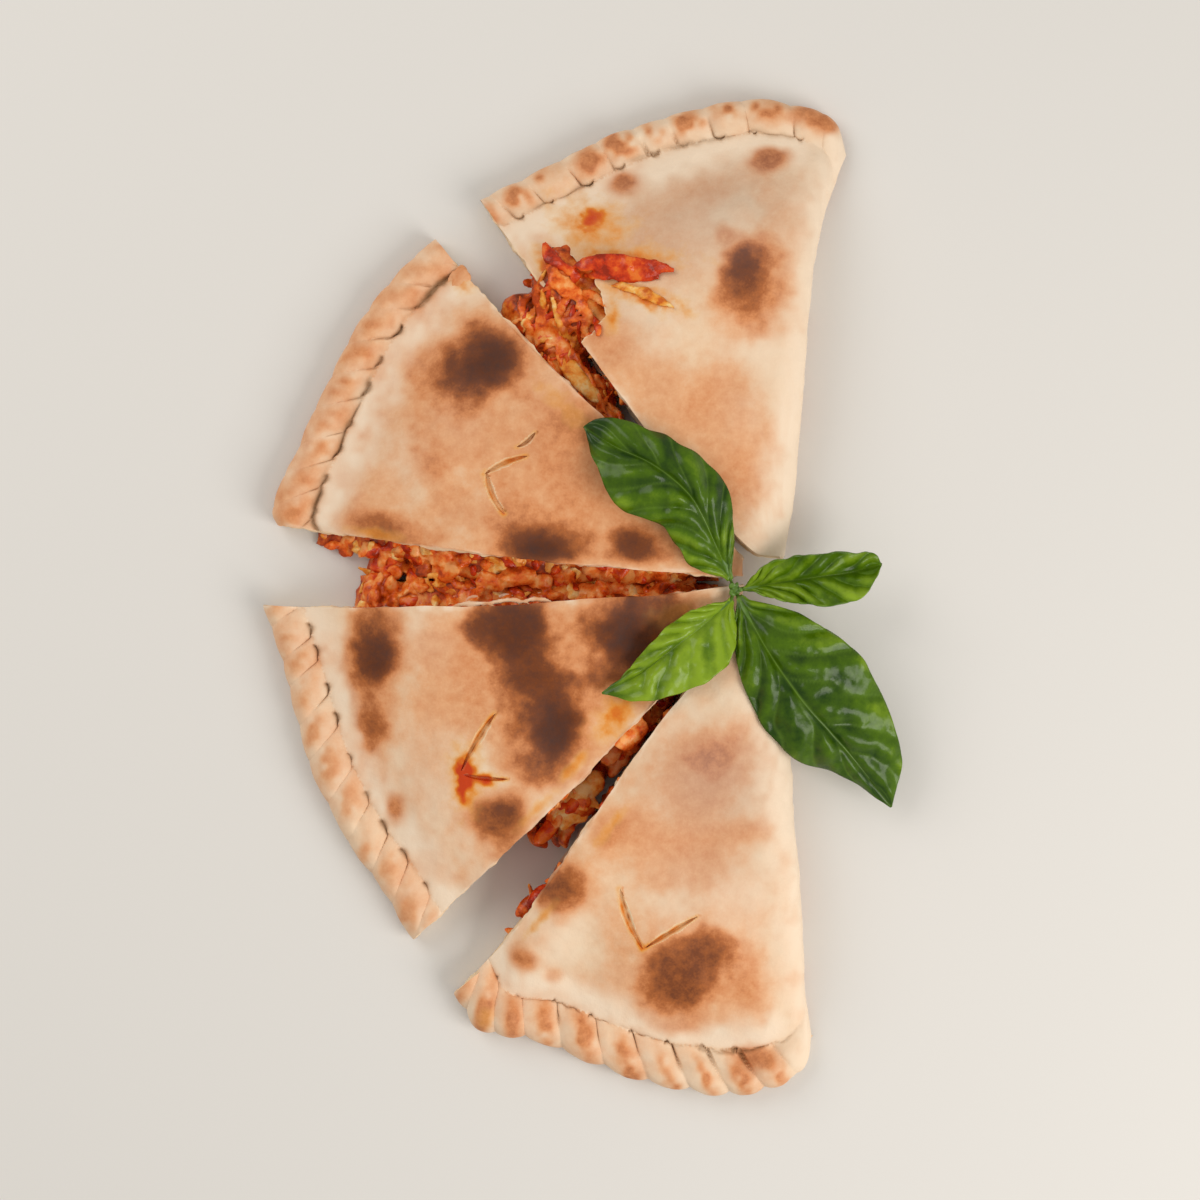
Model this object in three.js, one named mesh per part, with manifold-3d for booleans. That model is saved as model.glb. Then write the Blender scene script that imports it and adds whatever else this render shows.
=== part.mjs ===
// A calzone: a disc of pizza dough folded in half over ham, tomato and cheese, its rim crimped like a rope,
// baked, and cut into four slices that fan out from the middle of the fold. A sprig of basil lies where
// the slices meet. Millimetres, +Z up, origin in the middle of the outline on the surface it rests on.
import * as THREE from "three";
import { mergeVertices } from "three/addons/utils/BufferGeometryUtils.js";
import Module from "manifold-3d";

const wasm = await Module();
wasm.setup();

// ---------------------------------------------------------------- driving dimensions

const crownHeight = 26; // top of the puffed crust above the base
const seamHeight = 8; // crust at the groove between the puffed body and the crimped rim
const riseLength = 58; // run over which the crust rises from the groove to the crown
const ropeHeight = 10.5; // top of the rope that the crimps make
const ropeCrest = 0.44; // place of the rope's top between the groove and the outer edge
const pleatPitch = 11; // one crimp to the next along the rim
const pleatPeak = 0.6; // place of a crimp's top between two creases
const pleatMarks = [0, 0.13, 0.52, 0.88]; // where a crimp has its points between two creases
const rimEdgeHeight = 3.4; // upper corner of the outer edge
const rimUndercut = 1.8; // lower corner of the outer edge
const rimInset = 3; // the base starts this far inside the outer edge
const foldRadius = 12; // round of the fold, seen in a slice
const foldEdgeHeight = 7; // widest point of the fold above the base
const foldInset = 6; // the base starts this far inside the fold
const foldShoulder = 0.8; // height of the crust near the fold as a part of the full height
const foldRun = 50; // run over which that part grows to the full height
const floorThickness = 3.2; // bottom crust
const topThickness = 2.6; // top crust
const foldWall = 4.5; // crust left at the fold
const rimSeal = 20; // crust left between the rim and the filling
const cavityStart = { tip: 7, "side 0": 14, "side 1": 14 }; // filling starts this far from a tip, by fold
const ventBottom = 13; // the vents go down to this height
const tearDepth = 7; // height that the torn hole of slice 1 goes down to
const cutterTop = 2 * crownHeight; // cuts into the crust go up to here, above everything
const spillBottom = 0.3; // filling between the slices ends this far above the base
const spillRoot = 3; // and starts this far inside its own slice
const gapSpan = [0.06, 0.86]; // part of a cut, tip 0 to rim 1, where it may lie
const fit = 0.4; // gap between neighbouring solids
const shortestEdge = 0.22; // edges left by cutting that are shorter are joined
const leafThickness = 0.9;
const leafClearance = 1.1; // middle of a leaf above the crust that it lies on

// Each slice runs from its inner tip out to the rim. Its rim and its sides go round counter-clockwise:
// side 0 comes first and side 1 last. bows are [side, millimetres outwards, place from tip 0 to rim 1].
// ropeWidth is the crimped rim from its groove to its outer edge, and pleatSlant says how far a crimp runs
// along the rim for each millimetre outwards.
const slices = [
  {
    name: "slice_1",
    fold: "side 0",
    tip: [[61, 12], [53.4, 12.6]],
    rim: [[80.4, 133.9], [77.1, 143.5], [61.2, 149.2], [41.7, 148.6], [17.7, 142.6], [-6.3, 131.5],
      [-30.3, 119.8]],
    bows: [[0, -4.8, 0.72], [1, 4.2, 0.33]],
    ropeWidth: 10.5,
    pleatSlant: 0.3,
    scallop: 0.6,
    creaseDepth: 3.4,
    seed: 11,
  },
  {
    name: "slice_2",
    fold: "tip",
    tip: [[49, 11.2], [49, 5.9]],
    rim: [[-44.1, 107.8], [-54.3, 99.4], [-66.3, 84.4], [-75.9, 66.4], [-83.4, 49.9], [-89.4, 36.4],
      [-92.7, 25.3], [-91.2, 22]],
    bows: [[0, -2.2, 0.6], [1, 2.4, 0.5]],
    ropeWidth: 12,
    pleatSlant: 0.8,
    scallop: 0.5,
    creaseDepth: 3,
    seed: 22,
  },
  {
    name: "slice_3",
    fold: "tip",
    tip: [[49, 3.4], [48.4, -2.6]],
    rim: [[-95.7, -2.8], [-90.9, -19], [-85.8, -37], [-79.8, -55], [-69.9, -74.5], [-58.8, -90.1],
      [-50.7, -103.3]],
    bows: [[0, -3.3, 0.5], [1, 1.8, 0.45]],
    ropeWidth: 12,
    pleatSlant: 0.65,
    scallop: 0.6,
    creaseDepth: 4.2,
    seed: 33,
  },
  {
    name: "slice_4",
    fold: "side 1",
    tip: [[51.6, -5.6], [59, -6.4]],
    rim: [[-37.2, -119.5], [-30.9, -129.5], [-15.3, -133.4], [-1.8, -139], [14.7, -145.6], [32.7, -149.4],
      [47.7, -150.6], [59.7, -148], [68.1, -142], [70.2, -133]],
    bows: [[0, 2.6, 0.35], [0, -2.6, 0.78], [1, -0.6, 0.8]],
    ropeWidth: 14,
    pleatSlant: 0.65,
    scallop: 1.7,
    creaseDepth: 4.2,
    seed: 44,
  },
];

// Slits that let the steam out of a slice: arms that bend through three points, and their greatest width.
const vents = {
  slice_2: [
    { width: 2, path: [[-22.8, 24.4], [-27.2, 30], [-27.9, 38]] },
    { width: 2.4, path: [[-28.4, 37.2], [-22.4, 41.4], [-16.2, 40.2]] },
    { width: 1.6, path: [[-17, 39.8], [-16, 44], [-13.8, 47.5]] },
  ],
  slice_3: [
    { width: 2, path: [[-25.2, -34.6], [-28.2, -42], [-34.2, -49.6]] },
    { width: 1.8, path: [[-34.6, -48.6], [-29, -53.4], [-22.8, -54.4]] },
  ],
  slice_4: [
    { width: 1.8, path: [[11.7, -86.5], [12.8, -95.6], [18.4, -104.4]] },
    { width: 1.6, path: [[17.6, -103.8], [26, -101], [34.2, -94.6]] },
  ],
};

// The hole torn in the crust of slice 1, open towards the cut.
const tear = [
  [-12.9, 92.4], [-9.6, 98.6], [-11.2, 105.6], [-5, 104.4], [0.6, 100], [8, 101.3], [18, 100.4], [27.3, 97],
  [17.7, 94.6], [5.7, 93.8], [7.4, 88.8], [9.3, 82.9], [5.7, 78.4], [2.6, 75.6],
  [-8, 66.4], [-25, 89],
];

// Lumps of filling that stand out of the cuts: [x, y, z], [radii], turn about +Z in degrees.
const lumps = {
  slice_1: [
    [[-6, 93, 11], [9, 9, 9.6], 0],
    [[-1, 84, 11], [9, 8, 9.4], 30],
    [[-15, 84, 7.5], [10, 7, 7.6], -20],
    [[-6, 73, 8], [8, 10, 8], 40],
    [[3, 62, 7.6], [5, 10, 7.6], 40],
    [[12, 50, 7], [4, 10, 7.6], 40],
    [[9, 97.4, 17.4], [12, 3.4, 4.4], -2],
  ],
  slice_3: [
    [[13.4, -40.4, 16], [5, 4.4, 5], 40],
    [[-2.2, -63.4, 11], [7.4, 4.6, 3.6], 8],
    [[-13, -72, 8], [3, 5, 4], 40],
  ],
  slice_4: [
    [[-12.4, -91, 8], [4, 3.4, 3.2], 40],
  ],
};

// Ridges of filling that lie in the gap beside a cut side, from a start to an end between tip 0 and rim 1.
// reach is the share of the gap that they fill, and height a share of the crust's height.
const spills = {
  slice_2: [{ side: 1, from: 0.1, to: 0.8, reach: 0.5, height: 0.64 }],
  slice_3: [
    { side: 0, from: 0.1, to: 0.82, reach: 0.5, height: 0.6 },
    { side: 1, from: 0.2, to: 0.64, reach: 0.8, height: 0.36 },
  ],
};

// Share of the gap beside a cut that lumps of the slice may take.
const reaches = {
  slice_1: { 1: 1 },
  slice_2: { 1: 0.5 },
  slice_3: { 0: 0.5, 1: 0.84 },
  slice_4: { 0: 0.14 },
};

// Shreds of ham and strips of tomato on the heap beside slice 1: three points and a width each.
const shreds = [
  { width: 3.4, path: [[-10, 101, 18], [-6, 96, 20.4], [3, 94.6, 20]] },
  { width: 4.4, path: [[-1, 97.6, 20.6], [11, 98, 22], [24.6, 97, 21.6]] },
  { width: 3.2, path: [[-12, 96, 17.4], [-9, 90, 19.6], [-6, 82, 18]] },
  { width: 2.8, path: [[-18, 90, 13.6], [-16, 83, 15], [-13, 75, 13]] },
  { width: 3, path: [[-3, 92, 20.2], [-1, 86, 20.8], [3, 80, 18.8]] },
  { width: 2.6, path: [[-8, 88, 19.6], [-7, 80, 18.4], [-2, 73, 16.4]] },
  { width: 2.4, path: [[-4, 76, 16], [1, 68, 15.4], [7, 60, 14.4]] },
  { width: 2.6, path: [[-12, 80, 15], [-5, 78, 17.6], [2, 82, 19.6]] },
];

// The four leaves of the sprig: midrib with heights, then the edge on its left and on its right.
const leaves = [
  {
    rib: [[44.4, 5, 22], [39, 17, 29], [32.1, 29.5, 34.5], [21.3, 38.5, 36], [10.2, 43.8, 33.5],
      [0.9, 49.9, 28.6]],
    left: [[32.7, 9.4], [23.7, 20.8], [11.1, 25.9], [4.8, 38]],
    right: [[45, 17], [42, 33.4], [30.3, 43.9], [14.7, 50.8], [5.1, 52.4]],
    cup: -4.5,
    wave: 1,
  },
  {
    rib: [[48.3, 2.2, 21.4], [58.2, 4, 23], [70.2, 5.8, 22.5], [80.7, 7.3, 19.5], [89.7, 9.6, 18]],
    left: [[54.3, 9.1], [66, 12.1], [79.2, 13], [87.3, 12.7]],
    right: [[57.9, -0.7], [67.2, -2.5], [77.1, -2.5], [85.2, 1.3]],
    cup: 3.5,
    wave: 0.6,
  },
  {
    rib: [[45, -1, 21.4], [37.2, -7.6, 26.5], [28.2, -14.5, 29], [17.7, -22.6, 29], [6.3, -28.6, 27.6]],
    left: [[45.6, -16], [38.7, -23.8], [26.7, -29.5], [15.3, -30.7]],
    right: [[35.7, -3.1], [26.1, -8.5], [17.7, -17.5], [13.2, -22.6]],
    cup: -1.5,
    wave: 0.8,
  },
  {
    rib: [[46.6, 0, 21.8], [55.2, -16, 26.5], [65.7, -31, 26], [79.2, -46, 19.5], [93.3, -63.4, 9]],
    left: [[64.5, -5.2], [80.1, -15.1], [89.7, -29.5], [96, -48.1]],
    right: [[45.9, -17.5], [53.1, -36.7], [64.2, -48.4], [79.2, -53.8]],
    cup: -5,
    wave: 1.1,
  },
];
const bud = { place: [45.8, 2, 21.6], radii: [4, 4.2, 3] };

// ---------------------------------------------------------------- small helpers

const clamp = (value, low, high) => Math.min(high, Math.max(low, value));
const mix = (a, b, part) => a + (b - a) * part;
const mixPoint = (a, b, part) => a.map((value, axis) => mix(value, b[axis], part));
const smooth = (value) => THREE.MathUtils.smoothstep(value, 0, 1);
const steps = (count) => Array.from({ length: count + 1 }, (_, index) => index / count);

function randomFrom(seed) {
  let state = seed;
  return () => {
    state = (state * 1664525 + 1013904223) % 4294967296;
    return state / 4294967296;
  };
}

// A smooth line through points, read by its share of the length.
function lineThrough(points) {
  const corners = points.map(([x, y, z = 0]) => new THREE.Vector3(x, y, z));
  const curve = new THREE.CatmullRomCurve3(corners, false, "centripetal");
  return { at: (part) => curve.getPointAt(clamp(part, 0, 1)).toArray(), length: curve.getLength() };
}

function toSolid(geometry) {
  const bare = geometry.clone();
  for (const name of Object.keys(bare.attributes)) {
    if (name !== "position") {
      bare.deleteAttribute(name);
    }
  }
  const merged = mergeVertices(bare, 1e-4);
  return new wasm.Manifold(new wasm.Mesh({
    numProp: 3,
    vertProperties: new Float32Array(merged.attributes.position.array),
    triVerts: new Uint32Array(merged.index.array),
  }));
}

function fromTriangles(points, triangles) {
  const geometry = new THREE.BufferGeometry();
  geometry.setAttribute("position", new THREE.Float32BufferAttribute(points.flat(), 3));
  geometry.setIndex(triangles);
  return geometry;
}

// Joins the ends of the short edges that cutting leaves, where no face turns over or folds flat.
function weldShortEdges(points, faces, shortest) {
  const place = points.map((point) => new THREE.Vector3(...point));
  const around = points.map(() => new Set());
  faces.forEach((face) => face.forEach((corner) => around[corner].add(face)));
  const neighboursOf = (corner) => new Set([...around[corner]].flat());
  const normalOf = (corners) => {
    const [a, b, c] = corners.map((corner) => place[corner]);
    return new THREE.Vector3().subVectors(b, a).cross(new THREE.Vector3().subVectors(c, a));
  };
  const joins = (gone, kept) => {
    const shared = [...neighboursOf(gone)].filter((corner) => neighboursOf(kept).has(corner));
    if (shared.length !== 4) {
      return false;
    }
    return [...around[gone]].filter((face) => !face.includes(kept)).every((face) => {
      const before = normalOf(face);
      const after = normalOf(face.map((corner) => (corner === gone ? kept : corner)));
      return after.length() > 0.01 && (before.length() < 0.06 || before.angleTo(after) < 0.7);
    });
  };
  let changed = true;
  while (changed) {
    changed = false;
    for (const face of faces) {
      for (const [gone, kept] of [[face[0], face[1]], [face[1], face[2]], [face[2], face[0]]]) {
        const short = around[gone].has(face) && place[gone].distanceTo(place[kept]) < shortest;
        if (!short || !joins(gone, kept)) {
          continue;
        }
        for (const touched of [...around[gone]]) {
          touched.forEach((corner) => around[corner].delete(touched));
          if (!touched.includes(kept)) {
            touched[touched.indexOf(gone)] = kept;
            touched.forEach((corner) => around[corner].add(touched));
          }
        }
        changed = true;
        break;
      }
    }
  }
  return faces.filter((face) => around[face[0]].has(face));
}

// The largest body of a solid, without loose scraps and sealed hollows.
function toGeometry(solid) {
  const bodies = solid.decompose();
  bodies.sort((a, b) => b.volume() - a.volume());
  const { vertProperties, triVerts } = bodies[0].getMesh();
  const points = [];
  for (let start = 0; start < vertProperties.length; start += 3) {
    points.push([...vertProperties.slice(start, start + 3)]);
  }
  const faces = [];
  for (let start = 0; start < triVerts.length; start += 3) {
    faces.push([...triVerts.slice(start, start + 3)]);
  }
  return fromTriangles(points, weldShortEdges(points, faces, shortestEdge).flat());
}

const unite = (solids) => solids.reduce((joined, solid) => joined.add(solid));

// An upright prism over a closed outline.
function prism(outline, bottom, top) {
  const shape = new THREE.Shape(outline.map(([x, y]) => new THREE.Vector2(x, y)));
  const geometry = new THREE.ExtrudeGeometry(shape, { depth: top - bottom, bevelEnabled: false });
  geometry.translate(0, 0, bottom);
  return toSolid(geometry);
}

// Moves a closed outline that runs counter-clockwise in (+) or clockwise (-) by a distance.
function shrink(outline, distance) {
  const area = THREE.ShapeUtils.area(outline.map(([x, y]) => new THREE.Vector2(x, y)));
  return outline.map((point, index) => {
    const before = outline[(index + outline.length - 1) % outline.length];
    const after = outline[(index + 1) % outline.length];
    const along = new THREE.Vector2(after[0] - before[0], after[1] - before[1]).normalize();
    const inwards = Math.sign(area) * distance;
    return [point[0] - along.y * inwards, point[1] + along.x * inwards];
  });
}

function ellipsoid([x, y, z], radii, turn, detail = 1) {
  const geometry = new THREE.IcosahedronGeometry(1, detail);
  geometry.scale(...radii);
  geometry.rotateZ(THREE.MathUtils.degToRad(turn));
  geometry.translate(x, y, z);
  return toSolid(geometry);
}

// A soft strip with a flat oval section along a line that bends through three points.
function strip({ width, path }, sides = 5, count = 4) {
  const curve = new THREE.QuadraticBezierCurve3(...path.map((point) => new THREE.Vector3(...point)));
  const section = steps(sides).slice(1).map((part) => {
    const angle = part * 2 * Math.PI;
    return new THREE.Vector2(0.3 * width * Math.cos(angle), 0.5 * width * Math.sin(angle));
  });
  const options = { steps: count, bevelEnabled: false, extrudePath: curve };
  return toSolid(new THREE.ExtrudeGeometry(new THREE.Shape(section), options));
}

// ---------------------------------------------------------------- a slice in plan and height

// Rises from 0 at both ends of a side to 1 at its peak.
const hump = (part, peak) => Math.sin(Math.PI * clamp(part, 0, 1) ** (Math.log(0.5) / Math.log(peak)));

function shapeOf(slice) {
  const { ropeWidth, pleatSlant } = slice;
  const rim = lineThrough(slice.rim);
  const outward = [0, 1].map((side) => {
    const end = rim.at(side);
    const along = new THREE.Vector2(end[0] - slice.tip[side][0], end[1] - slice.tip[side][1]).normalize();
    return side === 0 ? [along.y, -along.x] : [-along.y, along.x];
  });

  // Place on the base for a share round the slice, and a share out from its tip to its rim.
  const plan = (round, out) => {
    const [x, y] = mixPoint(mixPoint(slice.tip[0], slice.tip[1], round), rim.at(round), out);
    const place = [x, y];
    for (const [side, amount, peak] of slice.bows) {
      const weight = (side === 0 ? 1 - round : round) ** 2 * amount * hump(out, peak);
      place[0] += outward[side][0] * weight;
      place[1] += outward[side][1] * weight;
    }
    return place;
  };

  // Place beyond a cut side by a distance.
  const beside = (side, out, distance) => {
    const [x, y] = plan(side, out);
    return [x + outward[side][0] * distance, y + outward[side][1] * distance];
  };

  const length = (round) => {
    const start = mixPoint(slice.tip[0], slice.tip[1], round);
    const end = rim.at(round);
    return Math.hypot(end[0] - start[0], end[1] - start[1]);
  };
  const width = (out) => {
    const a = plan(0, out);
    const b = plan(1, out);
    return Math.hypot(b[0] - a[0], b[1] - a[1]);
  };

  const foldDistance = (round, out) => {
    if (slice.fold === "tip") {
      return out * length(round);
    }
    return (slice.fold === "side 0" ? round : 1 - round) * width(out);
  };

  // How much of the crimping is there: it fades where the rim turns into the fold.
  const crimped = (round) => {
    const toFold = slice.fold === "side 0" ? round : slice.fold === "side 1" ? 1 - round : 1;
    return smooth((toFold - 0.06) / 0.12);
  };

  // A crimp swells slowly from one crease and drops steeply into the next.
  const lobe = (round, fromGroove) => {
    const turns = (round * rim.length - pleatSlant * fromGroove) / pleatPitch;
    const part = turns - Math.floor(turns);
    const rising = Math.sin((Math.PI / 2) * (part / pleatPeak));
    const falling = Math.cos((Math.PI / 2) * ((part - pleatPeak) / (1 - pleatPeak)));
    return Math.max(part < pleatPeak ? rising : falling, 0) ** 0.65;
  };

  // Top of the crust.
  const height = (round, out) => {
    const fromRim = (1 - out) * length(round);
    const fromGroove = ropeWidth - fromRim;
    const fromFold = Math.max(foldDistance(round, out), 0);
    let top;
    if (fromGroove < 0) {
      const part = clamp(-fromGroove / riseLength, 0, 1);
      top = mix(seamHeight, crownHeight, 1 - (1 - part) ** 2);
      top *= mix(foldShoulder, 1, smooth(fromFold / foldRun)) ** part;
      const [x, y] = plan(round, out);
      const broad = 0.8 * Math.sin(x / 13 + 1.3) * Math.sin(y / 16 + slice.seed);
      const fine = 0.5 * Math.sin(x / 8 - y / 10);
      top += (broad + fine) * smooth(-fromGroove / 12);
    } else {
      const crimp = crimped(round);
      const crest = mix(seamHeight, ropeHeight, crimp);
      const across = Math.min(fromGroove / ropeWidth, 1);
      if (across < ropeCrest) {
        top = mix(seamHeight, crest, smooth(across / ropeCrest));
      } else {
        const drop = (across - ropeCrest) / (1 - ropeCrest);
        top = rimEdgeHeight + (crest - rimEdgeHeight) * Math.sqrt(1 - drop * drop);
      }
      const inner = smooth((fromGroove + 1) / 3);
      const reach = mix(1, 0.3, smooth(2 * across - 0.75)) * inner * (top - rimUndercut - 1) / ropeHeight;
      top -= crimp * slice.creaseDepth * (1 - lobe(round, fromGroove)) * reach;
    }
    const edge = Math.min(foldEdgeHeight, 0.42 * top);
    const near = 1 - clamp(fromFold / foldRadius, 0, 1);
    return edge + (top - edge) * Math.sqrt(1 - near * near);
  };

  // The outer edge swells at each crimp.
  const edgePlan = (round, out) => {
    const fromGroove = ropeWidth - (1 - out) * length(round);
    const outwardPart = smooth(fromGroove / ropeWidth) * crimped(round);
    const push = slice.scallop * outwardPart * (lobe(round, fromGroove) - 0.5);
    return plan(round, out + push / length(round));
  };

  return { ...slice, plan, beside, edgePlan, length, width, height, crimped, rimLength: rim.length };
}

const shapes = Object.fromEntries(slices.map((slice) => [slice.name, shapeOf(slice)]));

// ---------------------------------------------------------------- crusts

// Shares from 0 to 1 with extra ones close to a fold, at true distances from it.
const foldSteps = [0, 0.8, 2.6, 6, 12];
function spread(count, span, foldAt) {
  if (foldAt === undefined) {
    return steps(count);
  }
  const scale = Math.min(1, (0.7 * span) / foldSteps.at(-1));
  const close = foldSteps.map((distance) => (distance * scale) / span);
  const rest = steps(Math.max(count, 1)).slice(1).map((part) => mix(close.at(-1), 1, part));
  const shares = [...close, ...rest];
  return foldAt === 0 ? shares : shares.map((share) => 1 - share).reverse();
}

const foldEnd = { "side 0": 0, "side 1": 1 };

// Rows that follow the crimps, as shares of the rope from its outer edge, and what they keep from the cuts.
const ropeRows = [1.2, 1, 0.75, 0.47, 0.19, 0];
const rowMargin = 0.012;

// Rows of points from the tip to the rim. Body rows are spread evenly, and rope rows follow the crimps.
function crustRows(shape) {
  const { ropeWidth, pleatSlant } = shape;
  const middle = shape.length(0.5);
  const grooveShare = 1 - ropeWidth / middle;
  const startRows = shape.fold === "tip" ? spread(7, middle * grooveShare, 0) : steps(9);
  const rows = startRows.slice(0, -1).map((part) => {
    const out = part * grooveShare;
    const span = shape.width(out);
    const count = clamp(Math.round(span / 11), 1, 9);
    return spread(count, span, foldEnd[shape.fold]).map((round) => ({ round, out, key: round }));
  });
  for (const row of ropeRows) {
    const fromRim = row * ropeWidth;
    const fromGroove = ropeWidth - fromRim;
    const shift = pleatSlant * Math.max(fromGroove, 0);
    const first = Math.ceil(-shift / pleatPitch);
    const marks = [];
    for (let pleat = first; pleat * pleatPitch < shape.rimLength; pleat += 1) {
      for (const place of pleatMarks) {
        marks.push(((pleat + place) * pleatPitch + shift) / shape.rimLength);
      }
    }
    const inside = marks.filter((round) => round > rowMargin && round < 1 - rowMargin);
    rows.push([0, ...inside, 1].map((round) => {
      const out = 1 - fromRim / shape.length(round);
      return { round, out, key: round - shift / shape.rimLength };
    }));
  }
  return rows;
}

// Triangles between two rows that may have different counts.
function stitch(inner, outer, triangles) {
  let a = 0;
  let b = 0;
  while (a < inner.length - 1 || b < outer.length - 1) {
    const nextInner = a < inner.length - 1 ? inner[a + 1].key : Infinity;
    const nextOuter = b < outer.length - 1 ? outer[b + 1].key : Infinity;
    if (nextInner <= nextOuter) {
      triangles.push(inner[a].index, outer[b].index, inner[a + 1].index);
      a += 1;
    } else {
      triangles.push(inner[a].index, outer[b].index, outer[b + 1].index);
      b += 1;
    }
  }
}

// The slice's outer skin: crust top, cut sides, rounded fold and rim, and flat base.
function skin(shape) {
  const points = [];
  const triangles = [];
  const rows = crustRows(shape);
  for (const row of rows) {
    for (const mark of row) {
      const [x, y] = shape.edgePlan(mark.round, mark.out);
      mark.index = points.length;
      points.push([x, y, shape.height(mark.round, mark.out)]);
    }
  }
  rows.slice(1).forEach((row, index) => stitch(rows[index], row, triangles));

  const ring = [
    ...rows.map((row) => row[0]),
    ...rows.at(-1).slice(1),
    ...rows.slice(0, -1).reverse().map((row) => row.at(-1)),
    ...rows[0].slice(1, -1).reverse(),
  ];
  const middle = shape.length(0.5);
  const lowRings = ring.map(({ round, out, index }) => {
    const span = shape.width(out);
    const side = (shape.fold === "side 0" && round === 0) || (shape.fold === "side 1" && round === 1);
    const folded = side || (shape.fold === "tip" && out === 0);
    const top = points[index][2];
    const lip = folded ? 0.86 * top : out > 0.999 ? rimUndercut : Math.min(4, 0.5 * top);
    const foldShare = Math.min(foldInset / span, 0.3);
    const start = shape.fold === "side 0" ? foldShare : 0;
    const end = shape.fold === "side 1" ? 1 - foldShare : 1;
    const first = shape.fold === "tip" ? (0.7 * foldInset) / middle : 0;
    const base = shape.plan(mix(start, end, round), mix(first, 1 - rimInset / middle, out));
    const [x, y] = points[index];
    return { lip: [x, y, lip], base: [...base, 0] };
  });
  const lipStart = points.length;
  points.push(...lowRings.map((low) => low.lip));
  const baseStart = points.length;
  points.push(...lowRings.map((low) => low.base));
  ring.forEach(({ index }, place) => {
    const next = (place + 1) % ring.length;
    const top = [index, ring[next].index];
    const lip = [lipStart + place, lipStart + next];
    const base = [baseStart + place, baseStart + next];
    for (const [[high, highNext], [low, lowNext]] of [[top, lip], [lip, base]]) {
      triangles.push(high, low, lowNext, high, lowNext, highNext);
    }
  });
  const outline = lowRings.map((low) => new THREE.Vector2(low.base[0], low.base[1]));
  for (const [a, b, c] of THREE.ShapeUtils.triangulateShape(outline, [])) {
    triangles.push(baseStart + a, baseStart + c, baseStart + b);
  }
  return toSolid(fromTriangles(points, triangles));
}

// A block between the bottom and top crust. inset keeps clear of the crust, beyond runs out of the cuts.
function innerBlock(shape, inset, beyond) {
  const middle = shape.length(0.5);
  const start = cavityStart[shape.fold];
  const end = middle - rimSeal;
  const points = [];
  const triangles = [];
  const rows = steps(8).map((part) => {
    const out = mix(start, end, part) / middle;
    const outPlace = mix(start + inset, end - 4 * inset, part) / middle;
    const across = (wall, share) => {
      const from = shape.fold === "side 0" ? Math.min(wall, 0.45) : 0;
      const to = shape.fold === "side 1" ? Math.max(1 - wall, 0.55) : 1;
      return mix(from, to, share);
    };
    const row = steps(5).map((share) => ({
      round: across(foldWall / shape.width(out), share),
      place: shape.plan(across((foldWall + 2 * inset) / shape.width(outPlace), share), outPlace),
    }));
    if (shape.fold !== "side 0") {
      row.unshift({ round: 0, place: shape.beside(0, outPlace, beyond(0, out)) });
    }
    if (shape.fold !== "side 1") {
      row.push({ round: 1, place: shape.beside(1, outPlace, beyond(1, out)) });
    }
    const top = row.map(({ round, place }) => [...place, shape.height(round, out) - topThickness - inset]);
    const low = row.map(({ place }) => [...place, floorThickness + inset]);
    return [...top, ...low.reverse()];
  });
  const size = rows[0].length;
  rows.forEach((row) => points.push(...row));
  for (let row = 0; row < rows.length - 1; row += 1) {
    for (let column = 0; column < size; column += 1) {
      const a = row * size + column;
      const b = row * size + ((column + 1) % size);
      triangles.push(a, a + size, b + size, a, b + size, b);
    }
  }
  for (const [row, order] of [[0, [0, 1, 2]], [rows.length - 1, [0, 2, 1]]]) {
    for (let column = 0; column < size / 2 - 1; column += 1) {
      const high = [row * size + column, row * size + column + 1];
      const low = [row * size + size - 1 - column, row * size + size - 2 - column];
      for (const face of [[high[0], high[1], low[0]], [high[1], low[1], low[0]]]) {
        triangles.push(...order.map((corner) => face[corner]));
      }
    }
  }
  return toSolid(fromTriangles(points, triangles));
}

// A slit with pointed ends along a line that bends through three points.
function slit({ width, path }) {
  const curve = new THREE.QuadraticBezierCurve(...path.map((point) => new THREE.Vector2(...point)));
  const side = (sign) => (part) => {
    const point = curve.getPoint(part);
    const along = curve.getTangent(part);
    const half = sign * 0.5 * width * Math.sin(Math.PI * part) ** 0.6;
    return [point.x - along.y * half, point.y + along.x * half];
  };
  const right = steps(6).map(side(-1));
  const left = steps(6).slice(1, -1).reverse().map(side(1));
  return prism([...right, ...left], ventBottom, cutterTop);
}

function crust(shape) {
  let solid = skin(shape).subtract(innerBlock(shape, 0, () => 6));
  for (const vent of vents[shape.name] ?? []) {
    solid = solid.subtract(slit(vent));
  }
  if (shape.name === "slice_1") {
    solid = solid.subtract(prism(tear, tearDepth, cutterTop));
  }
  return solid;
}

// ---------------------------------------------------------------- fillings

const neighbours = {
  slice_1: { 1: ["slice_2", 0] },
  slice_2: { 1: ["slice_3", 0] },
  slice_3: { 0: ["slice_2", 1], 1: ["slice_4", 0] },
  slice_4: { 0: ["slice_3", 1] },
};

// A place in the gap beside a cut, a share of the way to the neighbour's cut, clear of what fills the rest.
function inGap(shape, side, out, share) {
  const [otherName, otherSide] = neighbours[shape.name][side];
  const own = shape.beside(side, out, fit);
  const other = shapes[otherName].beside(otherSide, out, fit);
  const gap = Math.hypot(other[0] - own[0], other[1] - own[1]);
  return mixPoint(own, other, share - fit / 2 / gap);
}

// The outline of the part of a gap that belongs to a slice, from its own cut towards its neighbour's.
function gapOutline(shape, side, reach) {
  const marks = steps(12).map((part) => mix(...gapSpan, part));
  const near = marks.map((out) => shape.beside(side, out, fit));
  const far = marks.map((out) => inGap(shape, side, out, reach));
  const outline = [...near, ...far.reverse()];
  return side === 0 ? outline.reverse() : outline;
}

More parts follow.
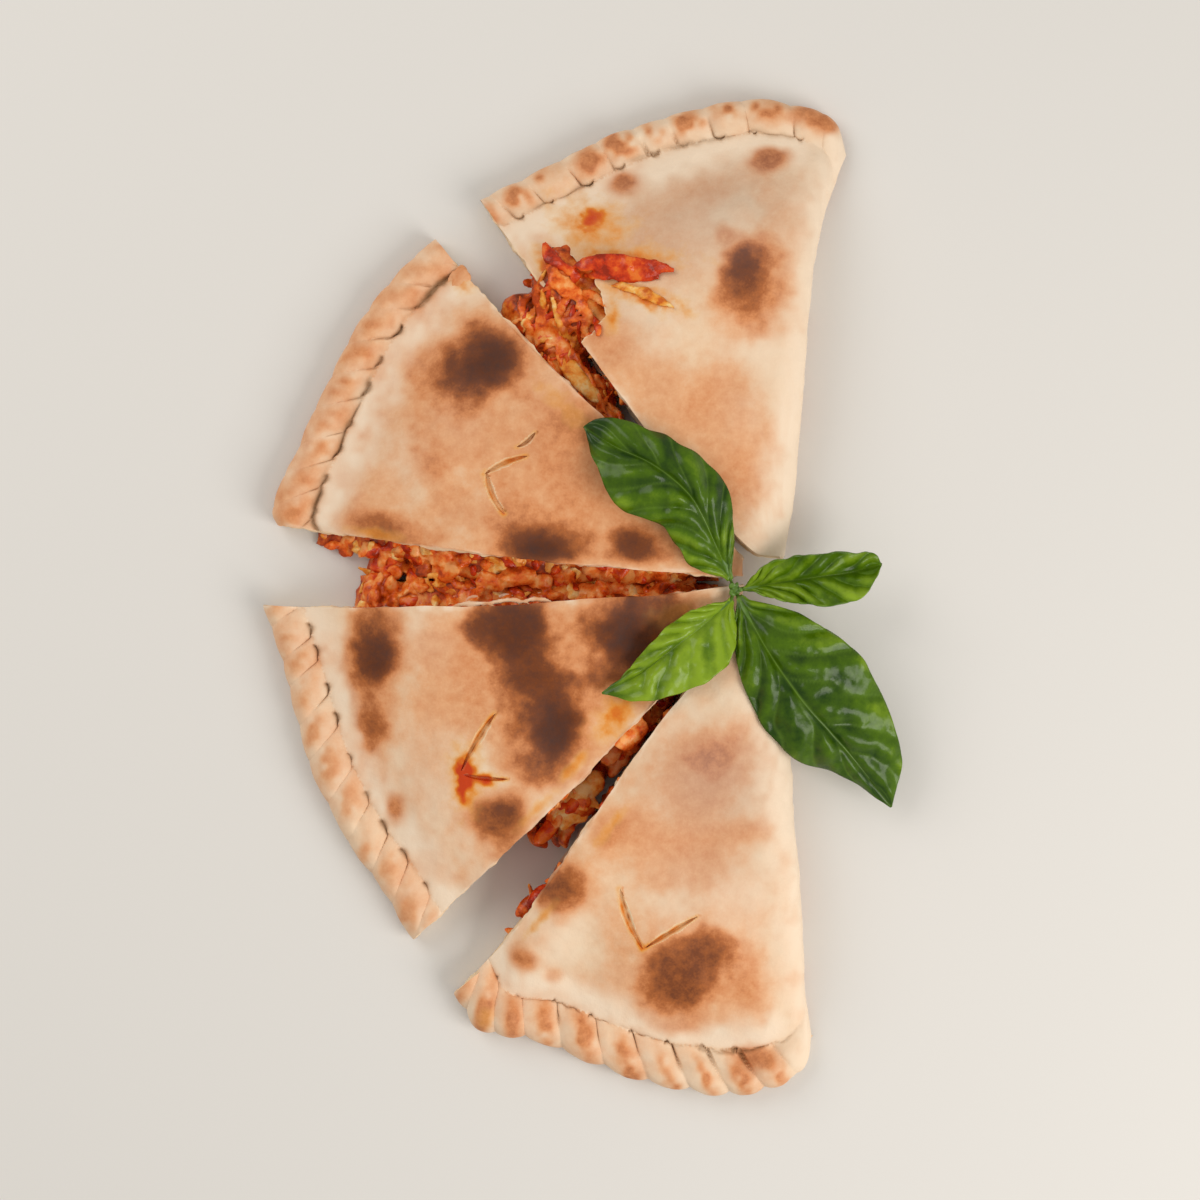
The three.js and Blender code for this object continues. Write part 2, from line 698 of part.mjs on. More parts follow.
// A ridge of filling that has come out of a cut and lies in the gap.
function spillRidge(shape, { side, from, to, reach, height }, random) {
  const points = [];
  const triangles = [];
  const marks = steps(14);
  const across = [0, 0.45, 1];
  const size = 2 * across.length;
  for (const mark of marks) {
    const out = mix(from, to, mark);
    const inside = shape.beside(side, out, -spillRoot);
    const outside = inGap(shape, side, out, reach);
    const lift = height * shape.height(side, out);
    const places = across.map((part) => mixPoint(inside, outside, part));
    places.forEach((place, index) => {
      points.push([...place, lift * mix(1.05, 0.78, across[index]) + 2.4 * (random() - 0.5)]);
    });
    places.reverse().forEach((place) => points.push([...place, spillBottom]));
  }
  for (let row = 0; row < marks.length - 1; row += 1) {
    for (let column = 0; column < size; column += 1) {
      const a = row * size + column;
      const b = row * size + ((column + 1) % size);
      triangles.push(a, a + size, b + size, a, b + size, b);
    }
  }
  for (const [row, order] of [[0, [0, 1, 2]], [marks.length - 1, [0, 2, 1]]]) {
    for (let column = 1; column < size - 1; column += 1) {
      const face = [row * size, row * size + column, row * size + column + 1];
      triangles.push(...order.map((corner) => face[corner]));
    }
  }
  if (side === 0) {
    for (let face = 0; face < triangles.length; face += 3) {
      [triangles[face + 1], triangles[face + 2]] = [triangles[face + 2], triangles[face + 1]];
    }
  }
  return toSolid(fromTriangles(points, triangles));
}

// Diced ham, tomato and cheese that show along a cut.
function dice(shape, side, count, random) {
  const spill = spills[shape.name]?.find((ridge) => ridge.side === side);
  return steps(count).slice(1).map((part) => {
    const out = mix(0.14, 0.8, part - (0.6 * random()) / count);
    const top = shape.height(side, out);
    const radius = mix(1.7, 3.2, random());
    const reach = spill ? mix(0, 5, random()) : mix(-0.6, 0.8, random());
    const highest = top - topThickness - 2;
    const level = spill ? spill.height * top - 0.4 : mix(floorThickness + 2, highest, random());
    const radii = [radius * mix(0.9, 1.5, random()), radius, radius * mix(0.7, 1, random())];
    return ellipsoid([...shape.beside(side, out, reach), level], radii, 360 * random(), 0);
  });
}

function filling(shape) {
  const random = randomFrom(shape.seed);
  const sides = Object.entries(reaches[shape.name]).map(([side, reach]) => [Number(side), reach]);
  const cutDepth = (side, out) => -1.2 + 0.8 * Math.sin(29 * out + 2 * side + shape.seed);
  const parts = [innerBlock(shape, fit, cutDepth)];
  const rooms = [innerBlock(shape, fit, () => 2 * fit)];
  for (const [side, reach] of sides) {
    rooms.push(prism(gapOutline(shape, side, reach), spillBottom, cutterTop));
    parts.push(...dice(shape, side, 10, random));
  }
  for (const spill of spills[shape.name] ?? []) {
    parts.push(spillRidge(shape, spill, random));
  }
  for (const [place, radii, turn] of lumps[shape.name] ?? []) {
    parts.push(ellipsoid(place, radii, turn));
  }
  if (shape.name === "slice_1") {
    rooms.push(prism(shrink(tear, fit), tearDepth + fit, cutterTop));
    parts.push(...shreds.map((shred) => strip(shred)));
  }
  return unite(parts).intersect(unite(rooms));
}

// ---------------------------------------------------------------- basil

// Top of the crust under a place, or 0 beside the slices: walks over each slice's plan to the place.
function crustUnder(x, y) {
  let best = 0;
  for (const shape of Object.values(shapes)) {
    let round = 0.5;
    let out = 0.4;
    for (let turn = 0; turn < 12; turn += 1) {
      const here = shape.plan(round, out);
      const ahead = shape.plan(round + 0.001, out);
      const outer = shape.plan(round, out + 0.001);
      const a = [(ahead[0] - here[0]) * 1000, (ahead[1] - here[1]) * 1000];
      const b = [(outer[0] - here[0]) * 1000, (outer[1] - here[1]) * 1000];
      const area = a[0] * b[1] - a[1] * b[0];
      round = clamp(round + ((x - here[0]) * b[1] - (y - here[1]) * b[0]) / area, 0, 0.998);
      out = clamp(out + (a[0] * (y - here[1]) - a[1] * (x - here[0])) / area, 0, 0.998);
    }
    const [foundX, foundY] = shape.plan(round, out);
    if (Math.hypot(foundX - x, foundY - y) < 1.5) {
      best = Math.max(best, shape.height(round, out));
    }
  }
  return best;
}

// A thin wavy leaf: the same grid above and below, joined round its edge.
function leaf({ rib, left, right, cup, wave }) {
  const ends = [rib[0], rib.at(-1)];
  const middle = lineThrough(rib);
  const edges = [left, right].map((edge) => lineThrough([ends[0].slice(0, 2), ...edge, ends[1].slice(0, 2)]));
  const lengthwise = steps(13);
  const across = [-1, -0.62, -0.3, 0, 0.3, 0.62, 1];
  const sheet = lengthwise.map((part) => across.map((share) => {
    const spine = middle.at(part);
    const edge = edges[share < 0 ? 0 : 1].at(part);
    const end = Math.min(part, 1 - part);
    const [before, after] = [middle.at(part - 0.02), middle.at(part + 0.02)];
    const along = new THREE.Vector2(after[0] - before[0], after[1] - before[1]).normalize();
    const blunt = -share * mix(0.9, 0.4, part) * Math.max(0, 1 - end / 0.04);
    const x = mix(spine[0], edge[0], Math.abs(share)) - along.y * blunt;
    const y = mix(spine[1], edge[1], Math.abs(share)) + along.x * blunt;
    const belly = Math.sin(Math.PI * part);
    const groove = 1.1 * belly * (1 - Math.exp(-Math.abs(share) * 5));
    const ripple = wave * belly * Math.sin(part * 22 + 2 * Math.sign(share)) * share * share;
    const free = spine[2] + cup * belly * share * share + groove + ripple;
    return [x, y, Math.max(free, crustUnder(x, y) + leafClearance)];
  }));
  const points = [];
  const triangles = [];
  const half = leafThickness / 2;
  for (const lift of [half, -half]) {
    sheet.forEach((row) => row.forEach(([x, y, z]) => points.push([x, y, z + lift])));
  }
  const columns = across.length;
  const count = lengthwise.length * columns;
  for (let row = 0; row < lengthwise.length - 1; row += 1) {
    for (let column = 0; column < columns - 1; column += 1) {
      const a = row * columns + column;
      const b = a + columns;
      const leftFaces = [[a, a + 1, b + 1], [a, b + 1, b]];
      const rightFaces = [[a, a + 1, b], [a + 1, b + 1, b]];
      for (const [p, q, r] of column < (columns - 1) / 2 ? leftFaces : rightFaces) {
        triangles.push(p, q, r, count + p, count + r, count + q);
      }
    }
  }
  const rimLoop = [
    ...lengthwise.map((_, row) => row * columns),
    ...across.slice(1).map((_, column) => (lengthwise.length - 1) * columns + column + 1),
    ...lengthwise.slice(1).map((_, row) => (lengthwise.length - 2 - row) * columns + columns - 1),
    ...across.slice(1, -1).map((_, column) => columns - 2 - column),
  ];
  rimLoop.forEach((a, place) => {
    const b = rimLoop[(place + 1) % rimLoop.length];
    triangles.push(a, b, count + b, a, count + b, count + a);
  });
  return toSolid(fromTriangles(points, triangles));
}

function sprig() {
  return unite([ellipsoid(bud.place, bud.radii, 0), ...leaves.map(leaf)]);
}

// ---------------------------------------------------------------- the part

const crustMaterial = new THREE.MeshStandardMaterial({ color: "#d9b285", roughness: 0.75, metalness: 0 });
const fillingMaterial = new THREE.MeshStandardMaterial({ color: "#b8431c", roughness: 0.4, metalness: 0 });
const basilMaterial = new THREE.MeshStandardMaterial({ color: "#2f6f22", roughness: 0.4, metalness: 0 });

function piece(name, solid, material) {
  const mesh = new THREE.Mesh(toGeometry(solid), material);
  mesh.name = name;
  return mesh;
}

const calzone = new THREE.Group();
for (const shape of Object.values(shapes)) {
  const slice = new THREE.Group();
  slice.add(piece(`${shape.name}_crust`, crust(shape), crustMaterial));
  slice.add(piece(`${shape.name}_filling`, filling(shape), fillingMaterial));
  calzone.add(slice);
}
calzone.add(piece("basil_sprig", sprig(), basilMaterial));

export default calzone;
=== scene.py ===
# %% [markdown]
# # A sliced calzone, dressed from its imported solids
# A calzone is a disc of pizza dough folded over ham, tomato and cheese, crimped shut like a rope and baked.
# This one is cut in four, with a sprig of basil where the slices meet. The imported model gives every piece
# its place and size, and this lesson gives each piece the surface of the real food. All numbers that
# describe shapes are millimetres, and meshes are turned into metres when they are made.

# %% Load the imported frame
import itertools
import math
import bmesh
import bpy
import numpy as np
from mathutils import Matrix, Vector
from mathutils.bvhtree import BVHTree


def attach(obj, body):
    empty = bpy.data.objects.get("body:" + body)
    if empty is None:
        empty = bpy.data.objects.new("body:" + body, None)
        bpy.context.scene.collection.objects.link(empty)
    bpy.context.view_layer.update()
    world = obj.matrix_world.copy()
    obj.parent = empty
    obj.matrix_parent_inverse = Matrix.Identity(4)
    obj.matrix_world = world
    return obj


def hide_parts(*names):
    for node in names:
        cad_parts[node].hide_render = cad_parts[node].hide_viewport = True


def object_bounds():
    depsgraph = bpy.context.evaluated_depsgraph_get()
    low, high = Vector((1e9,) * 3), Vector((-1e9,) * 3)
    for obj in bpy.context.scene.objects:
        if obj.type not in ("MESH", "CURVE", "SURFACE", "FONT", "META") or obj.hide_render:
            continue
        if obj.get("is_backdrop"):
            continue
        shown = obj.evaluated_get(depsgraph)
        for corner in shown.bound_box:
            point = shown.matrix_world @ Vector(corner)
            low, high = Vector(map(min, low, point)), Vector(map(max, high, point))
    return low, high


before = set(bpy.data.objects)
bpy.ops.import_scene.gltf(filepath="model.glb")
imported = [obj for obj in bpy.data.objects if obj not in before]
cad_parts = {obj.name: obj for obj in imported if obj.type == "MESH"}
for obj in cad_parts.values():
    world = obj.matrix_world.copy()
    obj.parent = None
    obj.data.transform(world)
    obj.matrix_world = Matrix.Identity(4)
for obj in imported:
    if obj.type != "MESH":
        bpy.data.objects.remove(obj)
cad_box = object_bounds()
MM = 0.001
print("CAD box in mm:", [[round(value / MM, 1) for value in corner] for corner in cad_box])

# %% [markdown]
# ## A few helpers for arrays
# Every surface here is a grid of points worked out by formulas, so the helpers take whole numpy arrays.
# Smooth noise gives dough its uneven skin. It could come from a displacement texture, but a small noise of
# our own moves the real mesh, so that the shape is there from every side.

# %% Helpers for arrays
NOISE_VALUES = 8192  # random values in the table behind the noise
HASH_PRIMES = (73856093, 19349663, 83492791)  # they spread neighbouring cells over that table
CURVE_STEPS = 60  # points on a smooth line between two of its corners
TINY = 1e-12


def mix(a, b, part):
    return a + (b - a) * part


def clamp(value):
    return np.clip(value, 0.0, 1.0)


def smooth(value):
    value = clamp(value)
    return value * value * (3 - 2 * value)


def bell(distance, width):
    return np.exp(-((distance / width) ** 2))


def noise(points, size, seed):
    """Smooth random values from -1 to 1 that change over about size millimetres."""
    table = np.random.default_rng(seed).uniform(-1, 1, NOISE_VALUES)
    scaled = np.asarray(points, float) / size
    cell = np.floor(scaled).astype(np.int64)
    part = smooth(scaled - cell)
    total = np.zeros(len(scaled))
    for corner in itertools.product((0, 1), repeat=scaled.shape[1]):
        key = np.zeros(len(scaled), np.int64)
        weight = np.ones(len(scaled))
        for axis, step in enumerate(corner):
            key ^= (cell[:, axis] + step) * HASH_PRIMES[axis]
            weight *= part[:, axis] if step else 1 - part[:, axis]
        total += weight * table[key % len(table)]
    return total


def layered(points, waves, seed, step=1):
    """Noise of several sizes at once. waves are (amount, size), and step sets their seeds apart."""
    total = 0
    for order, (amount, size) in enumerate(waves):
        total = total + amount * noise(points, size, seed + step * order)
    return total


def noise_shift(points, size, seed, axes):
    """A shift for every point, from noise with a seed of its own for each axis."""
    return np.column_stack([noise(points, size, seed + axis) for axis in range(axes)])


def unit(vectors):
    return vectors / np.maximum(np.linalg.norm(vectors, axis=-1, keepdims=True), TINY)


def sideways(vectors):
    """Flat vectors turned a quarter to the left."""
    return np.column_stack([-vectors[:, 1], vectors[:, 0]])


def run_along(points):
    """How far along a line each of its points lies."""
    return np.concatenate([[0], np.cumsum(np.linalg.norm(np.diff(points, axis=0), axis=1))])


def line_through(points):
    """A smooth line through points. Gives a function of the share of its length, and the length."""
    corners = np.array(points, float)
    corners = np.vstack([2 * corners[0] - corners[1], corners, 2 * corners[-1] - corners[-2]])
    places = []
    for before, start, end, after in zip(corners, corners[1:], corners[2:], corners[3:]):
        gaps = [math.sqrt(np.linalg.norm(b - a)) for a, b in ((before, start), (start, end), (end, after))]
        lead = (start - before) / gaps[0] - (end - before) / (gaps[0] + gaps[1]) + (end - start) / gaps[1]
        tail = (end - start) / gaps[1] - (after - start) / (gaps[1] + gaps[2]) + (after - end) / gaps[2]
        lead, tail = lead * gaps[1], tail * gaps[1]
        for part in np.linspace(0, 1, CURVE_STEPS, endpoint=False):
            square = (3 * (end - start) - 2 * lead - tail) * part**2
            cube = (2 * (start - end) + lead + tail) * part**3
            places.append(start + lead * part + square + cube)
    places = np.array([*places, corners[-2]])
    run = run_along(places)

    def at(share):
        distance = clamp(np.asarray(share, float)) * run[-1]
        return np.stack([np.interp(distance, run, column) for column in places.T], axis=-1)

    return at, run[-1]


print("noise at three places:", noise(np.eye(3), 2, 1).round(2))

# %% [markdown]
# ## The slices in plan
# A cut calzone is four wedges that fan out from the middle of its fold. The crust could be sculpted by
# hand, but a place on a wedge is easy to name by two shares: how far around it lies from one cut side to
# the other, and how far out from the tip to the rim. Every surface below is worked out from those two
# numbers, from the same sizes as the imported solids, so that it lies where they do.

# %% Sizes of the dough
CROWN_HEIGHT = 26  # top of the puffed crust
SEAM_HEIGHT = 8  # crust at the groove beside the crimped rope
RISE_LENGTH = 58  # run from the groove to the crown
ROPE_HEIGHT = 10.5
ROPE_CREST = 0.44  # place of the rope's top between the groove and the outer edge
PLEAT_PITCH = 11
PLEAT_PEAK = 0.6  # place of a crimp's top between two creases
RIM_EDGE_HEIGHT = 3.4
RIM_UNDERCUT = 1.8
RIM_INSET = 3  # the base starts this far inside the outer edge
FOLD_RADIUS = 12
FOLD_EDGE_HEIGHT = 7  # widest point of the fold above the base
FOLD_EDGE_SHARE = 0.42  # and where the dough is thin, this share of its height
FOLD_INSET = 6
FOLD_SHOULDER = 0.8
FOLD_RUN = 50
FLOOR_THICKNESS = 3.2
TOP_THICKNESS = 2.6
FOLD_WALL = 4.5
RIM_SEAL = 20  # crust left between the rim and the filling
CAVITY_START = {"tip": 7, "side 0": 14, "side 1": 14}  # tip to filling, by where the fold is
FIT = 0.4  # gap between a crust and what lies against it
UNCRIMPED = 0.06  # share of the rim beside a fold that has no crimps
CRIMP_GROWTH = 0.12  # share of the rim over which they then grow

# tip: its two corners. rim: the outer edge, counter-clockwise. bows: side, how far outwards, where along it.
# creases: where the crimps meet the groove, along the rim.
SLICE_FACTS = {
    "slice_1": dict(
        fold="side 0",
        tip=[(61, 12), (53.4, 12.6)],
        rim=[(80.4, 133.9), (77.1, 143.5), (61.2, 149.2), (41.7, 148.6), (17.7, 142.6), (-6.3, 131.5),
             (-30.3, 119.8)],
        bows=[(0, -4.8, 0.72), (1, 4.2, 0.33)],
        rope_width=10.5, slant=0.3, scallop=0.6, crease_depth=2.8, seed=11,
        creases=[12, 22, 37, 49, 61, 71, 83, 95, 108, 119],
    ),
    "slice_2": dict(
        fold="tip",
        tip=[(49, 11.2), (49, 5.9)],
        rim=[(-44.1, 107.8), (-54.3, 99.4), (-66.3, 84.4), (-75.9, 66.4), (-83.4, 49.9), (-89.4, 36.4),
             (-92.7, 25.3), (-91.2, 22)],
        bows=[(0, -2.2, 0.6), (1, 2.4, 0.5)],
        rope_width=12, slant=0.8, scallop=0.5, crease_depth=1.7, seed=22,
        creases=[10, 20, 32, 43, 54, 66, 76, 86, 97],
    ),
    "slice_3": dict(
        fold="tip",
        tip=[(49, 3.4), (48.4, -2.6)],
        rim=[(-95.7, -2.8), (-90.9, -19), (-85.8, -37), (-79.8, -55), (-69.9, -74.5), (-58.8, -90.1),
             (-50.7, -103.3)],
        bows=[(0, -3.3, 0.5), (1, 1.8, 0.45)],
        rope_width=12, slant=0.65, scallop=0.6, crease_depth=3.2, seed=33,
        creases=[10, 18, 30, 41, 55, 68, 80, 91, 104],
    ),
    "slice_4": dict(
        fold="side 1",
        tip=[(51.6, -5.6), (59, -6.4)],
        rim=[(-37.2, -119.5), (-30.9, -129.5), (-15.3, -133.4), (-1.8, -139), (14.7, -145.6), (32.7, -149.4),
             (47.7, -150.6), (59.7, -148), (68.1, -142), (70.2, -133)],
        bows=[(0, 2.6, 0.35), (0, -2.6, 0.78), (1, -0.6, 0.8)],
        rope_width=14, slant=0.65, scallop=1.7, crease_depth=3.8, seed=44,
        creases=[8, 17, 29, 43, 57, 70, 82, 93],
    ),
}
print(len(SLICE_FACTS), "slices")

# %% A slice as formulas
def hump(part, peak):
    """Rises from 0 at both ends of a side to 1 at its peak."""
    return np.sin(math.pi * clamp(part) ** (math.log(0.5) / math.log(peak)))


class Slice:
    """A wedge in plan. Places on it are named by around, from cut side 0 to 1, and out, from tip to rim."""

    def __init__(self, name, facts):
        self.name = name
        for key, value in facts.items():
            setattr(self, key, value)
        self.tip = np.array(self.tip, float)
        self.rim_at, self.rim_length = line_through(self.rim)
        first = self.creases[0] - PLEAT_PITCH * np.arange(3, 0, -1)
        last = self.creases[-1] + PLEAT_PITCH * np.arange(1, 5)
        self.crease_line = np.concatenate([first, self.creases, last])
        self.outward = []
        for side in (0, 1):
            along = unit(self.rim_at(side) - self.tip[side])
            self.outward.append(np.array([along[1], -along[0]]) * (1 - 2 * side))

    def random(self, order):
        """Random draws of this slice's own. The same order gives the same draws."""
        return np.random.default_rng(self.seed + order)

    def noise(self, points, size, order=0):
        return noise(points, size, self.seed + order)

    def layered(self, points, waves, order=0, step=1):
        return layered(points, waves, self.seed + order, step)

    def start(self, around):
        return mix(self.tip[0], self.tip[1], np.asarray(around, float)[..., None])

    def plan(self, around, out):
        around, out = np.broadcast_arrays(np.asarray(around, float), np.asarray(out, float))
        place = mix(self.start(around), self.rim_at(around), out[..., None])
        for side, amount, peak in self.bows:
            near = (1 - around if side == 0 else around) ** 2
            place = place + self.outward[side] * (near * amount * hump(out, peak))[..., None]
        return place

    def beside(self, side, out, distance):
        """A place beyond a cut side."""
        distance = np.asarray(distance, float)
        return self.plan(side, out) + self.outward[side] * distance[..., None]

    def length(self, around):
        return np.linalg.norm(self.rim_at(around) - self.start(around), axis=-1)

    def width(self, out):
        return np.linalg.norm(self.plan(1, out) - self.plan(0, out), axis=-1)

    def from_groove(self, around, out):
        """How far outside the groove beside the rope a place is, negative on the puffed body."""
        return self.rope_width - (1 - out) * self.length(around)

    def from_fold(self, around, out):
        if self.fold == "tip":
            return np.maximum(out * self.length(around), 0)
        return np.maximum((around if self.fold == "side 0" else 1 - around) * self.width(out), 0)

    def crimped(self, around):
        """The crimps fade where the rim turns into the fold."""
        to_fold = {"side 0": around, "side 1": 1 - around}.get(self.fold, np.ones_like(around))
        return smooth((to_fold - UNCRIMPED) / CRIMP_GROWTH)

    def pleat(self, around, out):
        """Which crimp a place is in, and how far it is from its first crease to the next, 0 to 1."""
        run = around * self.rim_length - self.slant * np.maximum(self.from_groove(around, out), 0)
        count = np.interp(run, self.crease_line, np.arange(len(self.crease_line)))
        return np.floor(count).astype(int), count - np.floor(count)


slices = {name: Slice(name, facts) for name, facts in SLICE_FACTS.items()}
print({name: round(piece.rim_length, 1) for name, piece in slices.items()}, "mm of rim")

# %% [markdown]
# ## The crust in height
# Steam lifts the dough into a low dome that falls towards the crimped rim. The baker folds the rim over
# itself again and again, so the rope is a row of soft lobes. Each lobe ends in a hooked crease where its
# lip tucks under the next one. Sculpting would shape one rope well, but a formula shapes all four and keeps
# the creases where the maker left them.

# %% Height of the dough
BROAD_WAVES = (0.8, 13, 16)  # height, and the lengths over which it changes in x and y
FINE_WAVES = (0.5, 8, 10)
WAVES_GROW = 12  # from the groove inwards they grow over this run
LOBE_FULLNESS = 0.65  # below 1, a crimp is blunter than a sine wave
MOST_CRIMPS = 40  # a random height is drawn for each of them, and the rope uses the first few
SWELL = (-0.6, 0.5)  # crimps are lower or higher by up to this much


def lobe(part):
    """A crimp swells slowly from one crease and drops steeply into the next."""
    rising = np.sin(math.pi / 2 * part / PLEAT_PEAK)
    falling = np.cos(math.pi / 2 * (part - PLEAT_PEAK) / (1 - PLEAT_PEAK))
    return np.maximum(np.where(part < PLEAT_PEAK, rising, falling), 0) ** LOBE_FULLNESS


def body_height(piece, around, out, groove):
    """The puffed dome inside the groove."""
    rise = clamp(-groove / RISE_LENGTH)
    top = mix(SEAM_HEIGHT, CROWN_HEIGHT, 1 - (1 - rise) ** 2)
    top *= mix(FOLD_SHOULDER, 1, smooth(piece.from_fold(around, out) / FOLD_RUN)) ** rise
    x, y = np.moveaxis(piece.plan(around, out), -1, 0)
    height, wide, deep = BROAD_WAVES
    broad = height * np.sin(x / wide + 1.3) * np.sin(y / deep + piece.seed)
    height, wide, deep = FINE_WAVES
    fine = height * np.sin(x / wide - y / deep)
    return top + (broad + fine) * smooth(-groove / WAVES_GROW)


def rope_height(piece, around, out, groove):
    """The crimped rope outside the groove."""
    number, part = piece.pleat(around, out)
    crimp = piece.crimped(around)
    swell = piece.random(0).uniform(*SWELL, MOST_CRIMPS)[number]
    crest = mix(SEAM_HEIGHT, ROPE_HEIGHT + swell * lobe(part), crimp)
    across = clamp(groove / piece.rope_width)
    drop = clamp((across - ROPE_CREST) / (1 - ROPE_CREST))
    rising = mix(SEAM_HEIGHT, crest, smooth(across / ROPE_CREST))
    falling = RIM_EDGE_HEIGHT + (crest - RIM_EDGE_HEIGHT) * np.sqrt(1 - drop**2)
    top = np.where(across < ROPE_CREST, rising, falling)
    inner = smooth((groove + 1) / 3)
    reach = mix(1, 0.3, smooth(2 * across - 0.75)) * inner * (top - RIM_UNDERCUT - 1) / ROPE_HEIGHT
    return top - crimp * piece.crease_depth * (1 - lobe(part)) * reach


def crust_height(piece, around, out):
    """Top of the dough, without the thin creases."""
    groove = piece.from_groove(around, out)
    body = body_height(piece, around, out, groove)
    top = np.where(groove < 0, body, rope_height(piece, around, out, groove))
    edge = np.minimum(FOLD_EDGE_HEIGHT, FOLD_EDGE_SHARE * top)
    near = 1 - clamp(piece.from_fold(around, out) / FOLD_RADIUS)
    return edge + (top - edge) * np.sqrt(1 - near**2)


middle = {name: round(float(crust_height(piece, 0.5, 0.4)), 1) for name, piece in slices.items()}
print("height in the middle of each slice:", middle)

# %% [markdown]
# ## Creases of the rope
# A crease is two strokes in one: a hook that lies in the groove, where the lobe's lip stands a little open,
# and a line that runs outwards over the rope and fades. Between the hooks a thin seam wanders along the
# groove, in some slices more than in others. All are narrow bells cut into the height, deep enough to hold
# a soft shadow. The same depth is kept as a mask, and the shader uses it to paint shade into the creases.

# %% Depth of the creases
HOOK_BULGE = 1.3  # how far the hook bows towards the body
HOOK_START = 1.1  # and how far outside the groove it starts
LINE_WIDTH = 0.4
CREASE_WANDER = [(0.8, 6), (0.35, 2.2)]  # millimetres to either side, size of the waves
CREASE_STYLES = {  # hook: width, length. line: how far it runs outwards, strength. seam: width, strength
    "slice_1": (0.7, 3.6, 7, 0.7, 0.5, 0.45),
    "slice_2": (0.95, 5.4, 7, 0.5, 0.62, 1.0),
    "slice_3": (0.9, 5.6, 4.5, 0.45, 0.4, 0.12),
    "slice_4": (0.65, 2.6, 8, 0.85, 0.3, 0.6),
}


def crease_depth(piece, around, out):
    """How deep a crease is at every place, from 0 to about 1."""
    lip, hook_length, line_run, line_strength, seam, seam_strength = CREASE_STYLES[piece.name]
    groove = piece.from_groove(around, out)
    along = around * piece.rim_length
    run = along - piece.slant * np.maximum(groove, 0)
    marks = np.column_stack([along.ravel(), np.zeros(along.size)])
    wander = piece.layered(marks, CREASE_WANDER, 8)
    opening = clamp(0.7 + 0.75 * piece.noise(marks, 5, 10))
    wander, opening = wander.reshape(along.shape), opening.reshape(along.shape)
    depth = seam_strength * opening * bell(groove - 0.3 - wander, seam * (0.5 + opening))
    random = piece.random(5)
    for place in piece.creases:
        strength, length = random.uniform(0.7, 1.1), hook_length * random.uniform(0.8, 1.25)
        back = (place - run) / length
        path = HOOK_START + 0.3 * wander - HOOK_BULGE * np.sin(math.pi * clamp(back))
        wide = lip * (0.3 + 0.7 * np.sin(math.pi * clamp(back)))
        hook = bell(groove - path, wide) * smooth((back + 0.12) / 0.3) * smooth((1.12 - back) / 0.4)
        fade = smooth((groove + 0.2) / 0.8) * (1 - smooth((groove - 0.8) / (line_run * strength)))
        line = line_strength * bell(run - place - 0.4 * wander, LINE_WIDTH) * fade
        depth = np.maximum(depth, strength * np.maximum(hook, line))
    return depth * piece.crimped(around)


print("hooks are", [style[1] for style in CREASE_STYLES.values()], "mm long")

# %% [markdown]
# ## The skin of a slice
# A slice is skinned with rows of points from its tip to its rim. The wedge widens, so a row has twice as
# many points as the one before it where the gaps would get too wide. Towards a fold or the rim's outer edge
# the rows crowd together, because the dough turns steeply there. A subdivided box could be bent to this
# outline too, but it would waste points at the tip and lack them in the rope.

# %% Rows from the tip to the rim
ROPE_STEP = 0.4
BODY_STEP = 0.65
MOST_HALVINGS = 5  # towards the tip the points of a row are halved at most this often
FOLD_CROWDING = 0.08
ROPE_CROWDING = 1.45  # more rows on the rope, because they crowd at its outer edge
ROW_SLACK = 1.3  # points in a row may lie this many body steps apart


def crowd(share):
    """Shares from 0 to 1 that crowd together at 0."""
    reach = math.sqrt(1 + FOLD_CROWDING**2) - FOLD_CROWDING
    return (np.sqrt(share**2 + FOLD_CROWDING**2) - FOLD_CROWDING) / reach


def crust_rows(piece):
    """For every row its shares around and out."""
    block = 2 ** (MOST_HALVINGS + 1)
    most = block * round(piece.rim_length / ROPE_STEP / block)
    body = np.linspace(0, 1, round(float(piece.length(0.5)) / BODY_STEP))[:-1]
    body = crowd(body) if piece.fold == "tip" else body
    rope = np.sin(math.pi / 2 * np.linspace(0, 1, round(ROPE_CROWDING * piece.rope_width / ROPE_STEP)))

    def columns(count):
        shares = np.linspace(0, 1, count + 1)
        return {"side 0": crowd(shares), "side 1": 1 - crowd(1 - shares)}.get(piece.fold, shares)

    rows = []
    for share in body:
        span = float(piece.width(share * (1 - piece.rope_width / piece.length(0.5))))
        halvings = math.floor(math.log2(max(ROW_SLACK * BODY_STEP * most / span, 1)))
        around = columns(most >> min(halvings, MOST_HALVINGS))
        rows.append((around, share * (1 - piece.rope_width / piece.length(around))))
    for share in rope:
        around = columns(most)
        rows.append((around, 1 - (1 - share) * piece.rope_width / piece.length(around)))
    return rows


def stitch(inner, outer):
    """Triangles between two rows of point numbers. The outer row has as many steps or twice as many."""
    a, d = inner[:-1], inner[1:]
    if len(inner) == len(outer):
        b, c = outer[:-1], outer[1:]
        return np.concatenate([np.stack([a, b, c], 1), np.stack([a, c, d], 1)])
    b, half, c = outer[:-1:2], outer[1::2], outer[2::2]
    return np.concatenate([np.stack(face, 1) for face in ((a, b, half), (a, half, d), (half, c, d))])


def stitched(rows):
    """Triangles between all neighbouring rows."""
    return np.concatenate([stitch(first, second) for first, second in zip(rows, rows[1:])])


rows = crust_rows(slices["slice_1"])
print("slice_1 has", len(rows), "rows,", len(rows[0][0]), "to", len(rows[-1][0]), "points each")

